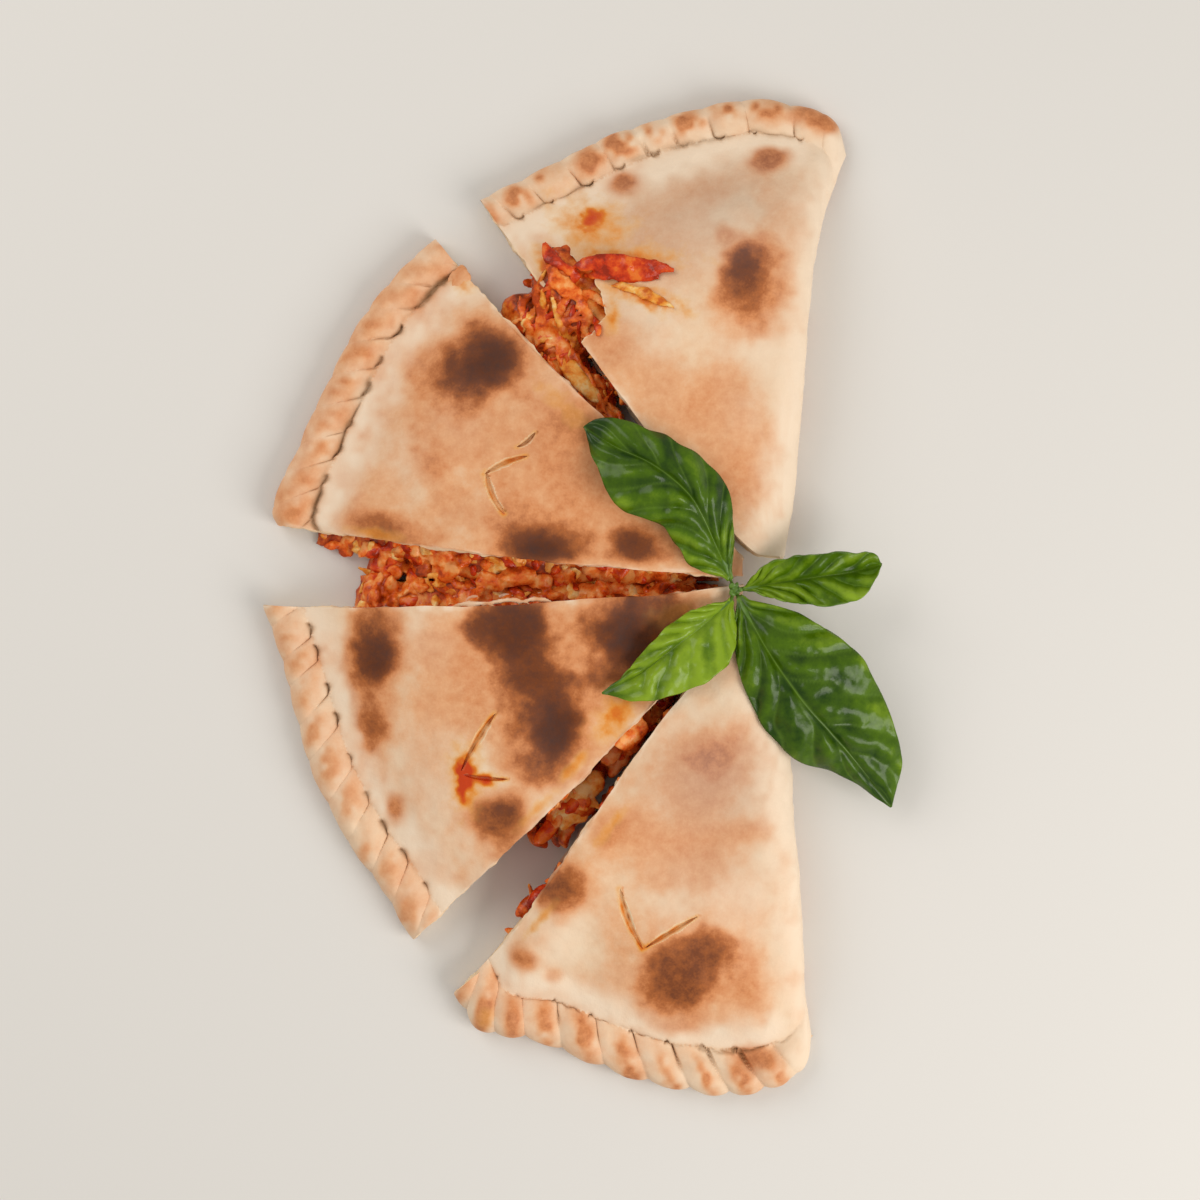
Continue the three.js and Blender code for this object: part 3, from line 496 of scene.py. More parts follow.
# %% [markdown]
# ## Walls, base and relief
# From the edge of the top the skin goes down: in a round sweep under the rim and the fold, and straight
# down where a knife went. Then every point moves along its normal by a few sizes of noise, so that the
# dough is uneven, the cuts are ragged and the base stays flat. Noise along the normal also works on the
# steep sides, where a height map would only stretch.

# %% Skin, walls and relief
OPEN_SIDES = {"side 0": [1], "side 1": [0], "tip": [0, 1]}  # cut sides of a slice, by where the fold is
WALL_ROWS = 30
DOUGH_NOISE = [(0.8, 24), (0.42, 9), (0.15, 3.2), (0.05, 1.3)]  # millimetres in and out, size of the waves
CUT_NOISE = [(0.8, 7), (0.45, 2.4), (0.25, 1.1)]
HOOK_CUT = 1.7  # depth of the creases


def point_normals(points, faces):
    a, b, c = (points[faces[:, corner]] for corner in range(3))
    face_normals = np.cross(b - a, c - a)
    normals = np.zeros_like(points)
    for corner in range(3):
        np.add.at(normals, faces[:, corner], face_normals)
    return unit(normals)


def scalloped(piece, around, out, groove):
    """The outer edge swells at each crimp."""
    part = piece.pleat(around, out)[1]
    push = piece.scallop * smooth(groove / piece.rope_width) * piece.crimped(around) * (lobe(part) - 0.5)
    return piece.plan(around, out + push / piece.length(around))


def base_place(piece, around, out):
    """Where the wall under a place on the edge meets the table."""
    inset = np.minimum(FOLD_INSET / piece.width(out), 0.3)
    first = 0.7 * FOLD_INSET / piece.length(0.5) if piece.fold == "tip" else 0
    from_side = inset if piece.fold == "side 0" else 0
    to_side = 1 - inset if piece.fold == "side 1" else 1
    return piece.plan(mix(from_side, to_side, around), mix(first, 1 - RIM_INSET / piece.length(0.5), out))


def crust_skin(piece):
    """Points, triangles with one many-sided base, and masks of the closed skin."""
    rows = crust_rows(piece)
    ends = np.cumsum([len(row[0]) for row in rows])
    numbers = np.split(np.arange(ends[-1]), ends[:-1])
    around = np.concatenate([row[0] for row in rows])
    out = np.concatenate([row[1] for row in rows])
    groove = piece.from_groove(around, out)
    dent = crease_depth(piece, around, out)
    top = crust_height(piece, around, out)
    top = top - HOOK_CUT * dent * clamp(top / 8)
    points = np.column_stack([scalloped(piece, around, out, groove), top])
    ring = np.concatenate([
        [row[0] for row in numbers],
        numbers[-1][1:],
        [row[-1] for row in numbers[-2::-1]],
        numbers[0][-2:0:-1],
    ])
    cut = ring_is_cut(piece, around[ring], out[ring])
    foot = np.column_stack([base_place(piece, around[ring], out[ring]), np.zeros(len(ring))])
    shares = np.linspace(0, 1, WALL_ROWS + 1)[1:, None, None]
    sweep = np.where(cut[:, None], shares, 1 - np.sqrt(1 - shares**2))
    walls = mix(points[ring], foot, sweep)
    walls[..., 2] = points[ring][:, 2] * (1 - shares[..., 0])
    points = np.concatenate([points, walls.reshape(-1, 3)])
    wall_numbers = len(around) + np.arange(WALL_ROWS * len(ring)).reshape(WALL_ROWS, -1)
    loops = [np.append(row, row[0]) for row in (ring, *wall_numbers)]
    faces = np.concatenate([stitched(numbers), stitched(loops)])
    no_walls = np.zeros(wall_numbers.size)
    # the depth of the creases is also the mask of the shade painted into them
    on_top = {"painted_crease_shade": dent, "gold": rope_gold(piece, around, out), "pale": flour_and_highlight(piece, around, out)}
    masks = {name: np.concatenate([values, no_walls]) for name, values in on_top.items()}
    masks["skin"] = np.concatenate([np.ones(len(around)), np.tile(np.where(cut, 0.0, 1.0), WALL_ROWS)])
    points = roughened(points, faces, masks["skin"], piece.seed)
    return points, faces, wall_numbers[-1], masks


def ring_is_cut(piece, around, out):
    """Whether the wall at the edge was cut by the knife, and isn't rim or fold."""
    at_side = np.isin(around, OPEN_SIDES[piece.fold])
    at_tip = (out < TINY) & (piece.fold != "tip")
    return (at_side & (out < 1 - TINY)) | at_tip


def roughened(points, faces, skin, seed):
    normals = point_normals(points, faces)
    shift = layered(points, DOUGH_NOISE, seed, 7)
    ragged = layered(points, CUT_NOISE, seed + 90)
    moved = points + normals * (mix(ragged, shift, skin) * clamp(points[:, 2] / 1.5))[:, None]
    moved[:, 2] = np.maximum(moved[:, 2], 0)
    return moved


GOLD_SHIFT = 0.12  # how far a patch lies higher or lower on its crimp
GOLD_PATCHES = {  # strength, place on the crimp along and across the rope, half sizes there
    "slice_1": (1.4, 0.52, 0.6, 0.38, 0.36),
    "slice_2": (1.15, 0.5, 0.52, 0.36, 0.34),
    "slice_3": (1.1, 0.5, 0.58, 0.34, 0.34),
    "slice_4": (1.2, 0.66, 0.6, 0.24, 0.5),
}


def rope_gold(piece, around, out):
    """Golden patches on the crimps, off the middle of each lobe."""
    strength, at_part, at_across, half_part, half_across = GOLD_PATCHES[piece.name]
    number, part = piece.pleat(around, out)
    across = piece.from_groove(around, out) / piece.rope_width
    random = piece.random(1)
    strength = strength * random.uniform(0.5, 1, MOST_CRIMPS)[number]
    at_across = at_across + random.uniform(-GOLD_SHIFT, GOLD_SHIFT, MOST_CRIMPS)[number]
    flat = np.column_stack([around * piece.rim_length, across * piece.rope_width])
    uneven = piece.noise(flat, 2.6, 3)
    patch = bell(part - at_part, half_part) * bell(across - at_across, half_across)
    return clamp(strength * patch * (1 + 0.8 * uneven)) * piece.crimped(around) * (across > 0)


PALE_GROOVE = (3.5, 7)  # middle of the pale band inside the groove, and its width
FOLD_PALE_AND_HIGHLIGHT = 12
PALE_CUT = 0.8
FLOURED = {  # flour that baked on pale: x, y, radius, strength
    "slice_1": [
        (0, 118, 9, 0.6), (40, 104, 14, 0.4), (56, 76, 14, 0.6), (22, 84, 12, 0.5), (52, 52, 12, 0.4),
    ],
    "slice_2": [(-46, 82, 12, 0.5), (-54, 44, 12, 0.4), (-38, 52, 9, 0.3), (-6, 62, 8, 0.2)],
    "slice_3": [(-46, -58, 20, 0.5), (-30, -84, 16, 0.5), (-48, -12, 9, 0.4), (-6, -58, 9, 0.4)],
    "slice_4": [
        (-10, -104, 16, 0.6), (8, -119, 11, 0.3), (50, -92, 16, 0.6), (28, -92, 12, 0.4), (20, -30, 10, 0.4),
    ],
}


def flour_and_highlight(piece, around, out):
    """Pale dough along the groove, at the torn lip of a cut and where it was floured, and along the fold
    pale dough with a painted highlight.
    """
    groove = piece.from_groove(around, out)
    flat = np.column_stack([around * piece.rim_length, groove])
    uneven = piece.noise(flat, 5, 4)
    rope = (0.42 + 0.25 * uneven) * (1 - rope_gold(piece, around, out))
    middle, width = PALE_GROOVE
    inside = 1.25 * bell(-groove - middle + 2 * uneven, width)
    band = np.where(groove < 0, inside, rope) * piece.crimped(around)
    if piece.fold != "tip":
        # along the fold the pale band is partly pale dough and partly a painted highlight
        band = np.maximum(band, 1.35 * bell(piece.from_fold(around, out) + 2 * uneven, FOLD_PALE_AND_HIGHLIGHT))
    for side in OPEN_SIDES[piece.fold]:
        to_cut = (around if side == 0 else 1 - around) * piece.width(out)
        torn = clamp(0.55 + piece.noise(flat, 2.6, 6))
        band = np.maximum(band, torn * bell(to_cut, PALE_CUT + 0.5 * piece.noise(flat, 1.6, 5)))
    plan = piece.plan(around, out)
    for x, y, radius, strength in FLOURED[piece.name]:
        away = np.hypot(plan[:, 0] - x, plan[:, 1] - y) / radius + 0.3 * piece.noise(plan, 8, 11)
        band = np.maximum(band, strength * bell(np.maximum(away, 0), 1))
    return band


print("walls have", WALL_ROWS, "rows")

# %% [markdown]
# ## Hollows, vents and the torn hole
# A baked crust is a pocket: a floor, a puffed lid and a solid seam at the rim. The pocket, the steam vents
# and the torn hole of the first slice are cut out of the skin with boolean modifiers, as a knife would, so
# the crust has a true thickness wherever it is open. Each cutter is a small closed mesh with uneven walls
# of its own.

# %% Shape of the pocket
POCKET_ROWS = 46
POCKET_COLUMNS = 40
POCKET_NOISE = [(0.5, 7), (0.25, 2.6)]
LID_END = 0.86  # from here outwards the pocket gets lower towards the seam
CUT_REACH = 6.0  # the cutters run this far out of the cut sides


def ring_block(ring_grid):
    """A closed block through rings of points that all have the same count, capped at both ends."""
    rings, size = ring_grid.shape[:2]
    numbers = np.arange(rings * size).reshape(rings, size)
    closed = np.column_stack([numbers, numbers[:, 0]])
    faces = [stitched(closed)]
    for order, ring in ((-1, numbers[0]), (1, numbers[-1])):
        low = ring[::-1]
        half = size // 2
        faces.append(stitch(ring[:half], low[:half])[:, ::order])
    return ring_grid.reshape(-1, 3), np.concatenate(faces)


def pocket(piece, inset, beyond):
    """Block between floor and lid, clear of the crust by inset. It passes the cuts by beyond(side, out)."""
    middle = float(piece.length(0.5))
    start, end = CAVITY_START[piece.fold], middle - RIM_SEAL
    part = np.linspace(0, 1, POCKET_ROWS + 1)
    out = mix(start, end, part) / middle
    out_place = mix(start + inset, end - 4 * inset, part) / middle
    share = np.linspace(0, 1, POCKET_COLUMNS + 1)[None]

    def across(wall, width):
        wall = wall / width[:, None]
        low = np.minimum(wall, 0.45) if piece.fold == "side 0" else 0 * wall
        high = np.maximum(1 - wall, 0.55) if piece.fold == "side 1" else 1
        return mix(low, high, share)

    around = across(FOLD_WALL, piece.width(out))
    plan = piece.plan(across(FOLD_WALL + 2 * inset, piece.width(out_place)), out_place[:, None])
    if piece.fold != "side 0":
        plan = np.concatenate([piece.beside(0, out_place, beyond(0, out))[:, None], plan], 1)
        around = np.column_stack([np.zeros(len(out)), around])
    if piece.fold != "side 1":
        plan = np.concatenate([plan, piece.beside(1, out_place, beyond(1, out))[:, None]], 1)
        around = np.column_stack([around, np.ones(len(out))])
    lid = crust_height(piece, around, out[:, None]) - TOP_THICKNESS
    taper = np.sqrt(1 - clamp((part - LID_END) / (1.04 - LID_END)) ** 2)[:, None]
    lid = FLOOR_THICKNESS + (lid - FLOOR_THICKNESS) * taper
    flat = plan.reshape(-1, 2)
    uneven = piece.layered(flat, POCKET_NOISE).reshape(lid.shape)
    high = np.dstack([plan, lid + 0.6 * uneven - inset])
    low = np.dstack([plan, np.full(lid.shape, FLOOR_THICKNESS) - 0.5 * uneven + inset])
    return ring_block(np.concatenate([high, low[:, ::-1]], 1))


def past_the_cut(side, out):
    return np.full(len(out), CUT_REACH)


points, faces = pocket(slices["slice_2"], 0, past_the_cut)
print("pocket of slice_2:", len(faces), "triangles, top at", round(float(points[:, 2].max()), 1), "mm")

# %% Rays onto a mesh
SKY = 60  # above everything


def places_of(mesh):
    values = np.zeros(3 * len(mesh.vertices), np.float32)
    mesh.vertices.foreach_get("co", values)
    return values.reshape(-1, 3).astype(float) / MM


def tree_of(bodies):
    """A search tree over the faces of some bodies, in millimetres."""
    parts = []
    for body in bodies:
        faces = [tuple(face.vertices) for face in body.data.polygons]
        parts.append((places_of(body.data), faces))
    starts = np.cumsum([0, *(len(points) for points, _ in parts)])
    corners = []
    for (_, faces), start in zip(parts, starts):
        corners += [tuple(start + corner for corner in face) for face in faces]
    return BVHTree.FromPolygons(np.concatenate([points for points, _ in parts]).tolist(), corners)


def hit(tree, start, direction):
    place, normal, _, _ = tree.ray_cast(Vector(start), Vector(direction))
    return None if place is None else (np.array(place), np.array(normal))


def from_above(tree, place):
    """Where a ray that falls straight down on x and y hits."""
    return hit(tree, (place[0], place[1], SKY), (0, 0, -1))


print("rays start at", SKY, "mm")

# %% Vents and the torn hole
CUTTER_TOP = 44
TEAR_DEPTH = 7  # height of the hole's floor
TEAR_TOP = 17.5  # top of the dough around the tear
TORN_LIP = 1.5  # the torn crumb slopes outwards by this much
TORN_STEP = 0.6
TORN_NOISE = ((0.7, 2.2), (0.3, 0.9))  # millimetres to either side, size of the waves
TORN_FACE = 3.4  # the torn wall is upright up to this far under the top
SLIT_STEPS = 29
SLIT_FLOOR = 0.4  # width of a slit at its bottom, as a share of its greatest width
SLIT_MOUTH = 3  # and above the dough, so that its walls lean outwards
SLIT_RISE = 4  # the cutter ends this far above the dough
VENT_DEPTH = 1.4  # the slits have baked shut at the bottom
VENTS = {  # greatest width, and three points that the slit bends through
    "slice_2": [
        (2.2, [(-22.5, 24.4), (-27.4, 30), (-27.9, 37)]),
        (2.1, [(-28.4, 36.2), (-22.4, 40.4), (-15.9, 41.4)]),
        (1.9, [(-18.9, 44.2), (-16, 45), (-13.4, 48.5)]),
    ],
    "slice_3": [
        (2.3, [(-25.2, -34.6), (-31.2, -42), (-35.4, -51.6)]),
        (1.8, [(-34.8, -52.8), (-29, -54.4), (-21.6, -54)]),
    ],
    "slice_4": [
        (2.3, [(11.7, -86.5), (12.4, -95.6), (18.4, -104.6)]),
        (1.9, [(19.2, -104.4), (26, -99.8), (34.6, -94.8)]),
    ],
}
TEAR = [
    (-12.9, 92.4), (-9.6, 98.6), (-11.2, 105.6), (-5, 104.4), (0.6, 100), (8, 101.3), (18, 100.4),
    (27.3, 97), (17.7, 94.6), (5.7, 93.8), (7.4, 88.8), (9.3, 82.9), (5.7, 78.4), (2.6, 75.6),
    (-8, 66.4), (-25, 89),
]


def bend(points, shares):
    """A curve that starts at the first point, ends at the last and leans towards the middle one."""
    start, middle, end = (np.array(point, float) for point in points)
    share = np.asarray(shares)[:, None]
    return (1 - share) ** 2 * start + 2 * share * (1 - share) * middle + share**2 * end


def slit(width, path, tree, seed):
    """A slit that follows the top of the dough, wider above, with pointed ends and slightly ragged lips."""
    share = np.linspace(0, 1, SLIT_STEPS)
    line = bend(path, share)
    across = unit(sideways(np.gradient(line, axis=0)))
    top = np.array([from_above(tree, place)[0][2] for place in line])
    swell = np.maximum(np.sin(math.pi * share), 0.02)
    rings = []
    for level, factor in ((top - VENT_DEPTH * swell**0.3, SLIT_FLOOR), (top + SLIT_RISE, SLIT_MOUTH)):
        half = factor * 0.5 * width * swell**0.6 * (1 + 0.3 * noise(line, 2, seed))
        lips = [line - across * half[:, None], (line + across * half[:, None])[::-1]]
        rings.append(np.column_stack([np.concatenate(lips), np.concatenate([level, level[::-1]])]))
    return ring_block(np.array(rings)[:, ::-1])


def torn_prism(seed):
    """An upright block over the jagged tear, which opens out where it passes the top of the dough."""
    corners = np.array([*TEAR, TEAR[0]], float)
    run = run_along(corners)
    marks = np.arange(0, run[-1], TORN_STEP)
    plain = np.column_stack([np.interp(marks, run, corners[:, axis]) for axis in (0, 1)])
    edge = plain
    for order, (amount, size) in enumerate(TORN_NOISE):
        edge = edge + amount * noise_shift(plain, size, seed + 2 * order, 2)
    if np.sum(np.roll(edge[:, 0], -1) * edge[:, 1] - edge[:, 0] * np.roll(edge[:, 1], -1)) > 0:
        plain, edge = plain[::-1], edge[::-1]
    outward = unit(sideways(np.roll(plain, -4, axis=0) - np.roll(plain, 4, axis=0)))
    rings = []
    levels = (TEAR_DEPTH, TEAR_TOP - TORN_FACE, TEAR_TOP + 0.8, CUTTER_TOP)
    for level, spread in zip(levels, (0, 0, TORN_LIP, TORN_LIP)):
        rings.append(np.column_stack([edge + spread * outward, np.broadcast_to(level, len(edge))]))
    count = len(edge)
    numbers = np.arange(len(rings) * count).reshape(len(rings), count)
    closed = np.column_stack([numbers, numbers[:, 0]])
    walls = stitched(closed)[:, ::-1]
    return np.concatenate(rings), [*walls.tolist(), numbers[0][::-1].tolist(), numbers[-1].tolist()]


print(sum(len(paths) for paths in VENTS.values()), "vents and a tear of", len(TEAR), "corners")

# %% [markdown]
# ## Baking colour as masks
# Heat colours dough in steps: pale, peach, golden, brown, black. One number per point says how far the
# dough has gone, and the shader turns it into colour with a ramp. The same number also carries painted
# shade: on one wall of each vent, in a broad oval on the upper body of the first slice, and partly in the
# oval round the leaf tip on the second. The other dark spots are blisters that touched the hot oven roof.
# Painting them by hand on a texture is common, and here named ovals with frayed edges do the same, so
# they can be moved by changing a number.

# %% Spots of the crust
SPOTS = {  # x, y, half length, half width, turn in degrees, how dark
    "slice_1": [
        (50.8, 91.5, 13.5, 10.5, 80, 0.62), (48, 97.5, 7.5, 6.5, 70, 0.82), (43, 107, 4, 3.5, 0, 0.42),
        # the broad oval at 34, 121 is painted shade on the upper body, not a blister
        (12.6, 124, 6.5, 4.6, 20, 0.56), (56, 130.8, 8, 4, 12, 0.56), (34, 121, 22, 8, 12, 0.27),
        (66.3, 145.4, 4.6, 3.2, 10, 0.46), (73, 142.8, 4.8, 3.6, -15, 0.54), (38, 58, 15, 12, 40, 0.38),
        (7.6, 75.6, 13, 8, -50, 0.4), (25, 60, 13, 9, -40, 0.32), (46, 36, 16, 11, 70, 0.4),
        (24, 104, 17, 12, 0, 0.26), (60, 110, 10, 7, 80, 0.26),
    ],
    "slice_2": [
        (-30.6, 69.4, 14.5, 11.5, 25, 0.76), (-28.6, 68.7, 8.5, 7, 30, 0.95), (-46, 68.4, 11, 7, 4, 0.46),
        (-43.9, 38.5, 5.5, 5, 30, 0.47), (-61, 21, 9.5, 4.6, -12, 0.64), (-52, 17.6, 8, 3.4, -10, 0.5),
        (-13.2, 16, 13.5, 7, -6, 0.8), (-12, 13.6, 8, 3.6, -6, 0.96), (-17, 24, 9, 5, 0, 0.48),
        # the oval at -1.7, 51.4 round the leaf tip is partly browning and partly the leaf's painted shadow
        (16.4, 15, 11, 5.8, -8, 0.84), (-1.7, 51.4, 13, 9, -40, 0.52), (-4, 38, 17, 11, -35, 0.44),
        (8, 30, 16, 8, -35, 0.42), (-40, 27, 6, 5, 0, 0.38), (-30, 48, 14, 9, 0, 0.37),
        (-58, 33, 8, 7, 0, 0.3),
    ],
    "slice_3": [
        (-61.8, -15, 8.5, 12.5, 0, 0.74), (-60, -19, 4.6, 6, 0, 0.9), (-62.5, -38.3, 6, 7.5, 0, 0.66),
        (-62, -28, 7, 9, 0, 0.42), (-19.5, -9, 14, 10, 0, 0.88), (-21.5, -13, 11, 10, 0, 0.9),
        (-14.8, -24, 11, 11, -20, 0.82), (-9.3, -37.6, 12.5, 13.5, 0, 0.86), (-7, -40, 7, 8, 0, 0.96),
        (-13, -48.5, 9, 5.5, 10, 0.72), (-34, -20, 11, 11, 0, 0.42), (14, -11.4, 12.5, 14, -30, 0.98),
        (26, -6, 9, 8, 0, 0.74), (-24.3, -67.6, 9.5, 9.5, 10, 0.68), (-22, -64, 5, 5, 0, 0.78),
        (-55.7, -63.5, 4, 6, 0, 0.52), (-47, -81, 5, 5, 0, 0.3), (5, -26, 8, 8, 0, 0.46),
        (-44, -47, 9, 9, 0, 0.28), (-41, -33, 10, 8, 0, 0.34), (-43, -15, 8, 9, 0, 0.36),
    ],
    "slice_4": [
        (31, -111.6, 16.5, 14.5, 44, 0.67), (27, -112.6, 9, 9, 40, 0.74), (35, -105.6, 8, 8, 40, 0.74),
        (49, -115, 6, 8, 0, 0.44), (31, -127.6, 11, 4.6, 10, 0.44), (-5.8, -86.6, 8.5, 8.5, 40, 0.72),
        (-17.5, -108.5, 5.4, 4, -30, 0.54), (-8.4, -113.8, 3, 2.6, 0, 0.4), (39.9, -47.2, 14, 9, 10, 0.5),
        (9.9, -69.4, 8, 5.5, 50, 0.48), (17.7, -67, 8, 7, 0, 0.37), (12, -115, 8, 7, 0, 0.32),
        (49, -69.4, 9, 4, 0, 0.38), (29.4, -75, 18, 11, 0, 0.38), (34, -58, 15, 11, 0, 0.34),
        (12, -98, 7, 7, 0, 0.27), (46, -96, 8, 10, 0, 0.26), (53, -139, 7, 3.6, -10, 0.5),
    ],
}
BAKED = {"slice_1": 0.14, "slice_2": 0.29, "slice_3": 0.19, "slice_4": 0.145}  # browning of the whole slice
OILY = {  # where filling has soaked into the dough, written in the same way with a strength
    "slice_1": [
        (2.6, 113, 4.4, 4, 0, 0.95), (3.6, 110.6, 12, 8, -30, 0.5), (-9.6, 97, 7, 2.4, -60, 0.8),
        (19, 88.8, 10.5, 3, -22, 0.8), (12, 92, 5, 3, -10, 0.6), (14, 101.4, 16, 3, -4, 0.6),
        (9.6, 82, 2.2, 5, 0, 0.62), (-3, 70, 8, 1.6, -52, 0.5), (22, 102, 6, 3, -20, 0.25),
    ],
    "slice_2": [(-34.4, 96.6, 5, 3.4, 70, 0.72), (-60, 18.6, 8, 1.6, -10, 0.5), (-5, 56, 12, 3, -42, 0.32)],
    "slice_3": [
        (-33.6, -53.4, 4.2, 8.6, 0, 0.85), (-34.6, -54.4, 3.1, 6.4, -4, 1.4),
        (-30.4, -54, 6, 2.3, -6, 1.0), (10.4, -35, 8, 4, 45, 0.66), (28, -5.6, 9, 3, 8, 0.4),
        (-2, -50, 6, 1.6, 50, 0.5), (-14, -64, 8, 1.4, 42, 0.4),
    ],
    "slice_4": [(-12, -96, 6, 1.4, 50, 0.45), (9, -68, 8, 1.4, 52, 0.4), (-29, -127, 4, 2, 60, 0.3)],
}
SHADE_PATCHES = {  # painted grey shade on the top of the dough, written in the same way
    "slice_1": [(38, 116, 38, 20, 15, 0.3), (14, 84, 12, 14, 0, 0.1)],
    "slice_4": [(38, -54, 22, 19, 0, 0.34), (38, -80, 22, 16, 0, 0.17)],
}
VENT_SHADE_SHIFT = (0.55, 0.2)  # in a vent, one wall is oily and painted shade darkens the other one
OILY_WALL = (-0.25, -0.05)
VENT_SHADE_WIDTH = 0.2  # as a share of the vent's width
OILY_WIDTH = 0.42
WALL_STRENGTH = 0.74
VENT_STEPS = 25
SPOT_FALL = 2.8  # how suddenly a dark spot ends
SPOT_EDGE = [(0.24, 8), (0.13, 3)]  # how far an oval's edge frays as a share of it, size of the waves
OIL_EDGE = [(0.4, 3.4), (0.25, 1.3)]
BROWN_WAVES = [(0.09, 17), (0.1, 6)]


def oval_distance(plan, x, y, half_length, half_width, turn):
    """0 in the middle of an oval and 1 on its edge."""
    angle = math.radians(turn)
    offset = plan - (x, y)
    along = (offset[:, 0] * math.cos(angle) + offset[:, 1] * math.sin(angle)) / half_length
    across = (offset[:, 1] * math.cos(angle) - offset[:, 0] * math.sin(angle)) / half_width
    return np.hypot(along, across)


def vent_distances(piece, plan, shift):
    """The width of each vent, and how far every point is from its middle line moved by shift."""
    for width, path in VENTS.get(piece.name, []):
        line = bend(path, np.linspace(0, 1, VENT_STEPS)) + shift
        yield width, np.min([np.hypot(*(plan - place).T) for place in line], axis=0)


def browning_and_shade(piece, points):
    """How brown every point is, from 0 for raw dough to 1 for black, with painted shade in the vents and in
    some ovals.
    """
    plan = points[:, :2]
    wobble = piece.layered(plan, SPOT_EDGE)
    level = BAKED[piece.name] + piece.layered(plan, BROWN_WAVES, 2)
    level = level + 0.05 * piece.noise(plan, 2.2, 6)
    for *oval, dark in SPOTS[piece.name]:
        away = np.maximum(oval_distance(plan, *oval) + wobble, 0)
        level = level + np.maximum(dark - level, 0) * np.exp(-0.95 * away**SPOT_FALL)
    # painted shade on one wall of each vent, carried by the browning mask
    for width, away in vent_distances(piece, plan, VENT_SHADE_SHIFT):
        level = np.maximum(level, WALL_STRENGTH * bell(away, VENT_SHADE_WIDTH * width))
    return level


def painted_shading(piece, points):
    """How much grey shade is painted on at every point."""
    plan = points[:, :2]
    level = 0.03 + 0.03 * piece.noise(plan, 12, 9)
    for *oval, strength in SHADE_PATCHES.get(piece.name, []):
        level = np.maximum(level, strength * bell(oval_distance(plan, *oval), 1))
    return level


def soaking(piece, points):
    """How much oil and sauce every point has soaked up."""
    plan = points[:, :2]
    level = np.zeros(len(points))
    wobble = piece.layered(plan, OIL_EDGE, 4, 3)
    for *oval, strength in OILY[piece.name]:
        away = np.maximum(oval_distance(plan, *oval) + wobble, 0)
        level = np.maximum(level, strength * np.exp(-(away**2)))
    patchy = clamp(0.75 + 0.5 * piece.noise(plan, 3, 8))
    for width, away in vent_distances(piece, plan, OILY_WALL):
        level = np.maximum(level, WALL_STRENGTH * patchy * bell(away, OILY_WIDTH * width))
    return level


print("spots:", {name: len(spots) for name, spots in SPOTS.items()})

# %% Build the crusts
MASKS = ("skin", "painted_crease_shade", "gold", "pale")
GOLDEN = {"slice_1": 0.52, "slice_2": 0.46, "slice_3": 0.38, "slice_4": 0.5}  # browning of gold patches
SHARP_ANGLE = 48  # an edge that turns by more degrees stays sharp


def add_mask(mesh, name, values):
    mesh.attributes.new(name, "FLOAT", "POINT").data.foreach_set("value", np.asarray(values, np.float32))


def linked(name, data):
    """A new object with its data, in the scene."""
    body = bpy.data.objects.new(name, data)
    bpy.context.scene.collection.objects.link(body)
    return body


def new_body(name, points, faces, masks=None):
    """A mesh object from points in millimetres."""
    mesh = bpy.data.meshes.new(name)
    mesh.from_pydata((np.asarray(points) * MM).tolist(), [], [list(face) for face in faces])
    for mask, values in (masks or {}).items():
        add_mask(mesh, mask, values)
    return linked(name, mesh)


def mask_of(mesh, name):
    values = np.zeros(len(mesh.vertices), np.float32)
    mesh.attributes[name].data.foreach_get("value", values)
    return values


def keep_modified(body):
    """Makes the result of a body's modifiers its mesh."""
    result = bpy.data.meshes.new_from_object(body.evaluated_get(bpy.context.evaluated_depsgraph_get()))
    body.modifiers.clear()
    body.data = result


def cut_away(body, cutters):
    """Takes the cutters out of a body with boolean modifiers and keeps the result as its mesh."""
    for cutter in cutters:
        modifier = body.modifiers.new(cutter.name, "BOOLEAN")
        modifier.operation = "DIFFERENCE"
        modifier.solver = "MANIFOLD"
        modifier.object = cutter
    keep_modified(body)
    for cutter in cutters:
        bpy.data.objects.remove(cutter)


def cutter_object(name, points, faces):
    return new_body(name, points, faces, {mask: np.zeros(len(points)) for mask in MASKS})


def build_crust(piece):
    points, faces, base, masks = crust_skin(piece)
    faces = [*faces.tolist(), base[::-1].tolist()]
    body = new_body(f"{piece.name}_dough", points, faces, masks)
    cutters = [cutter_object("pocket", *pocket(piece, 0, past_the_cut))]
    tree = tree_of([body])
    for number, (width, path) in enumerate(VENTS.get(piece.name, [])):
        cutters.append(cutter_object(f"vent_{number}", *slit(width, path, tree, piece.seed + number)))
    if piece.name == "slice_1":
        cutters.append(cutter_object("tear", *torn_prism(piece.seed)))
    cut_away(body, cutters)
    mesh = body.data
    places = places_of(mesh)
    bake_and_shade = browning_and_shade(piece, places)
    gold = mask_of(mesh, "gold")
    add_mask(mesh, "bake_and_shade", mix(bake_and_shade, np.maximum(bake_and_shade, GOLDEN[piece.name]), gold))
    add_mask(mesh, "oil", soaking(piece, places))
    add_mask(mesh, "painted_shade", painted_shading(piece, places))
    mesh.shade_smooth()
    mesh.set_sharp_from_angle(angle=math.radians(SHARP_ANGLE))
    return body


def face_counts(bodies):
    return {name: len(body.data.polygons) for name, body in bodies.items()}


crusts = {name: build_crust(piece) for name, piece in slices.items()}
print("faces:", face_counts(crusts))

# %% [markdown]
# ## Core of the filling
# Ham, tomato and melted cheese fill the pocket and have come out between the slices. The bulk of it is one
# soft mass, so it starts as a few rough closed shells: the pocket's own shape set back from the cuts,
# ridges that lie in the gaps, and lumps. A voxel remesh melts them into one surface, which noise then
# roughens.

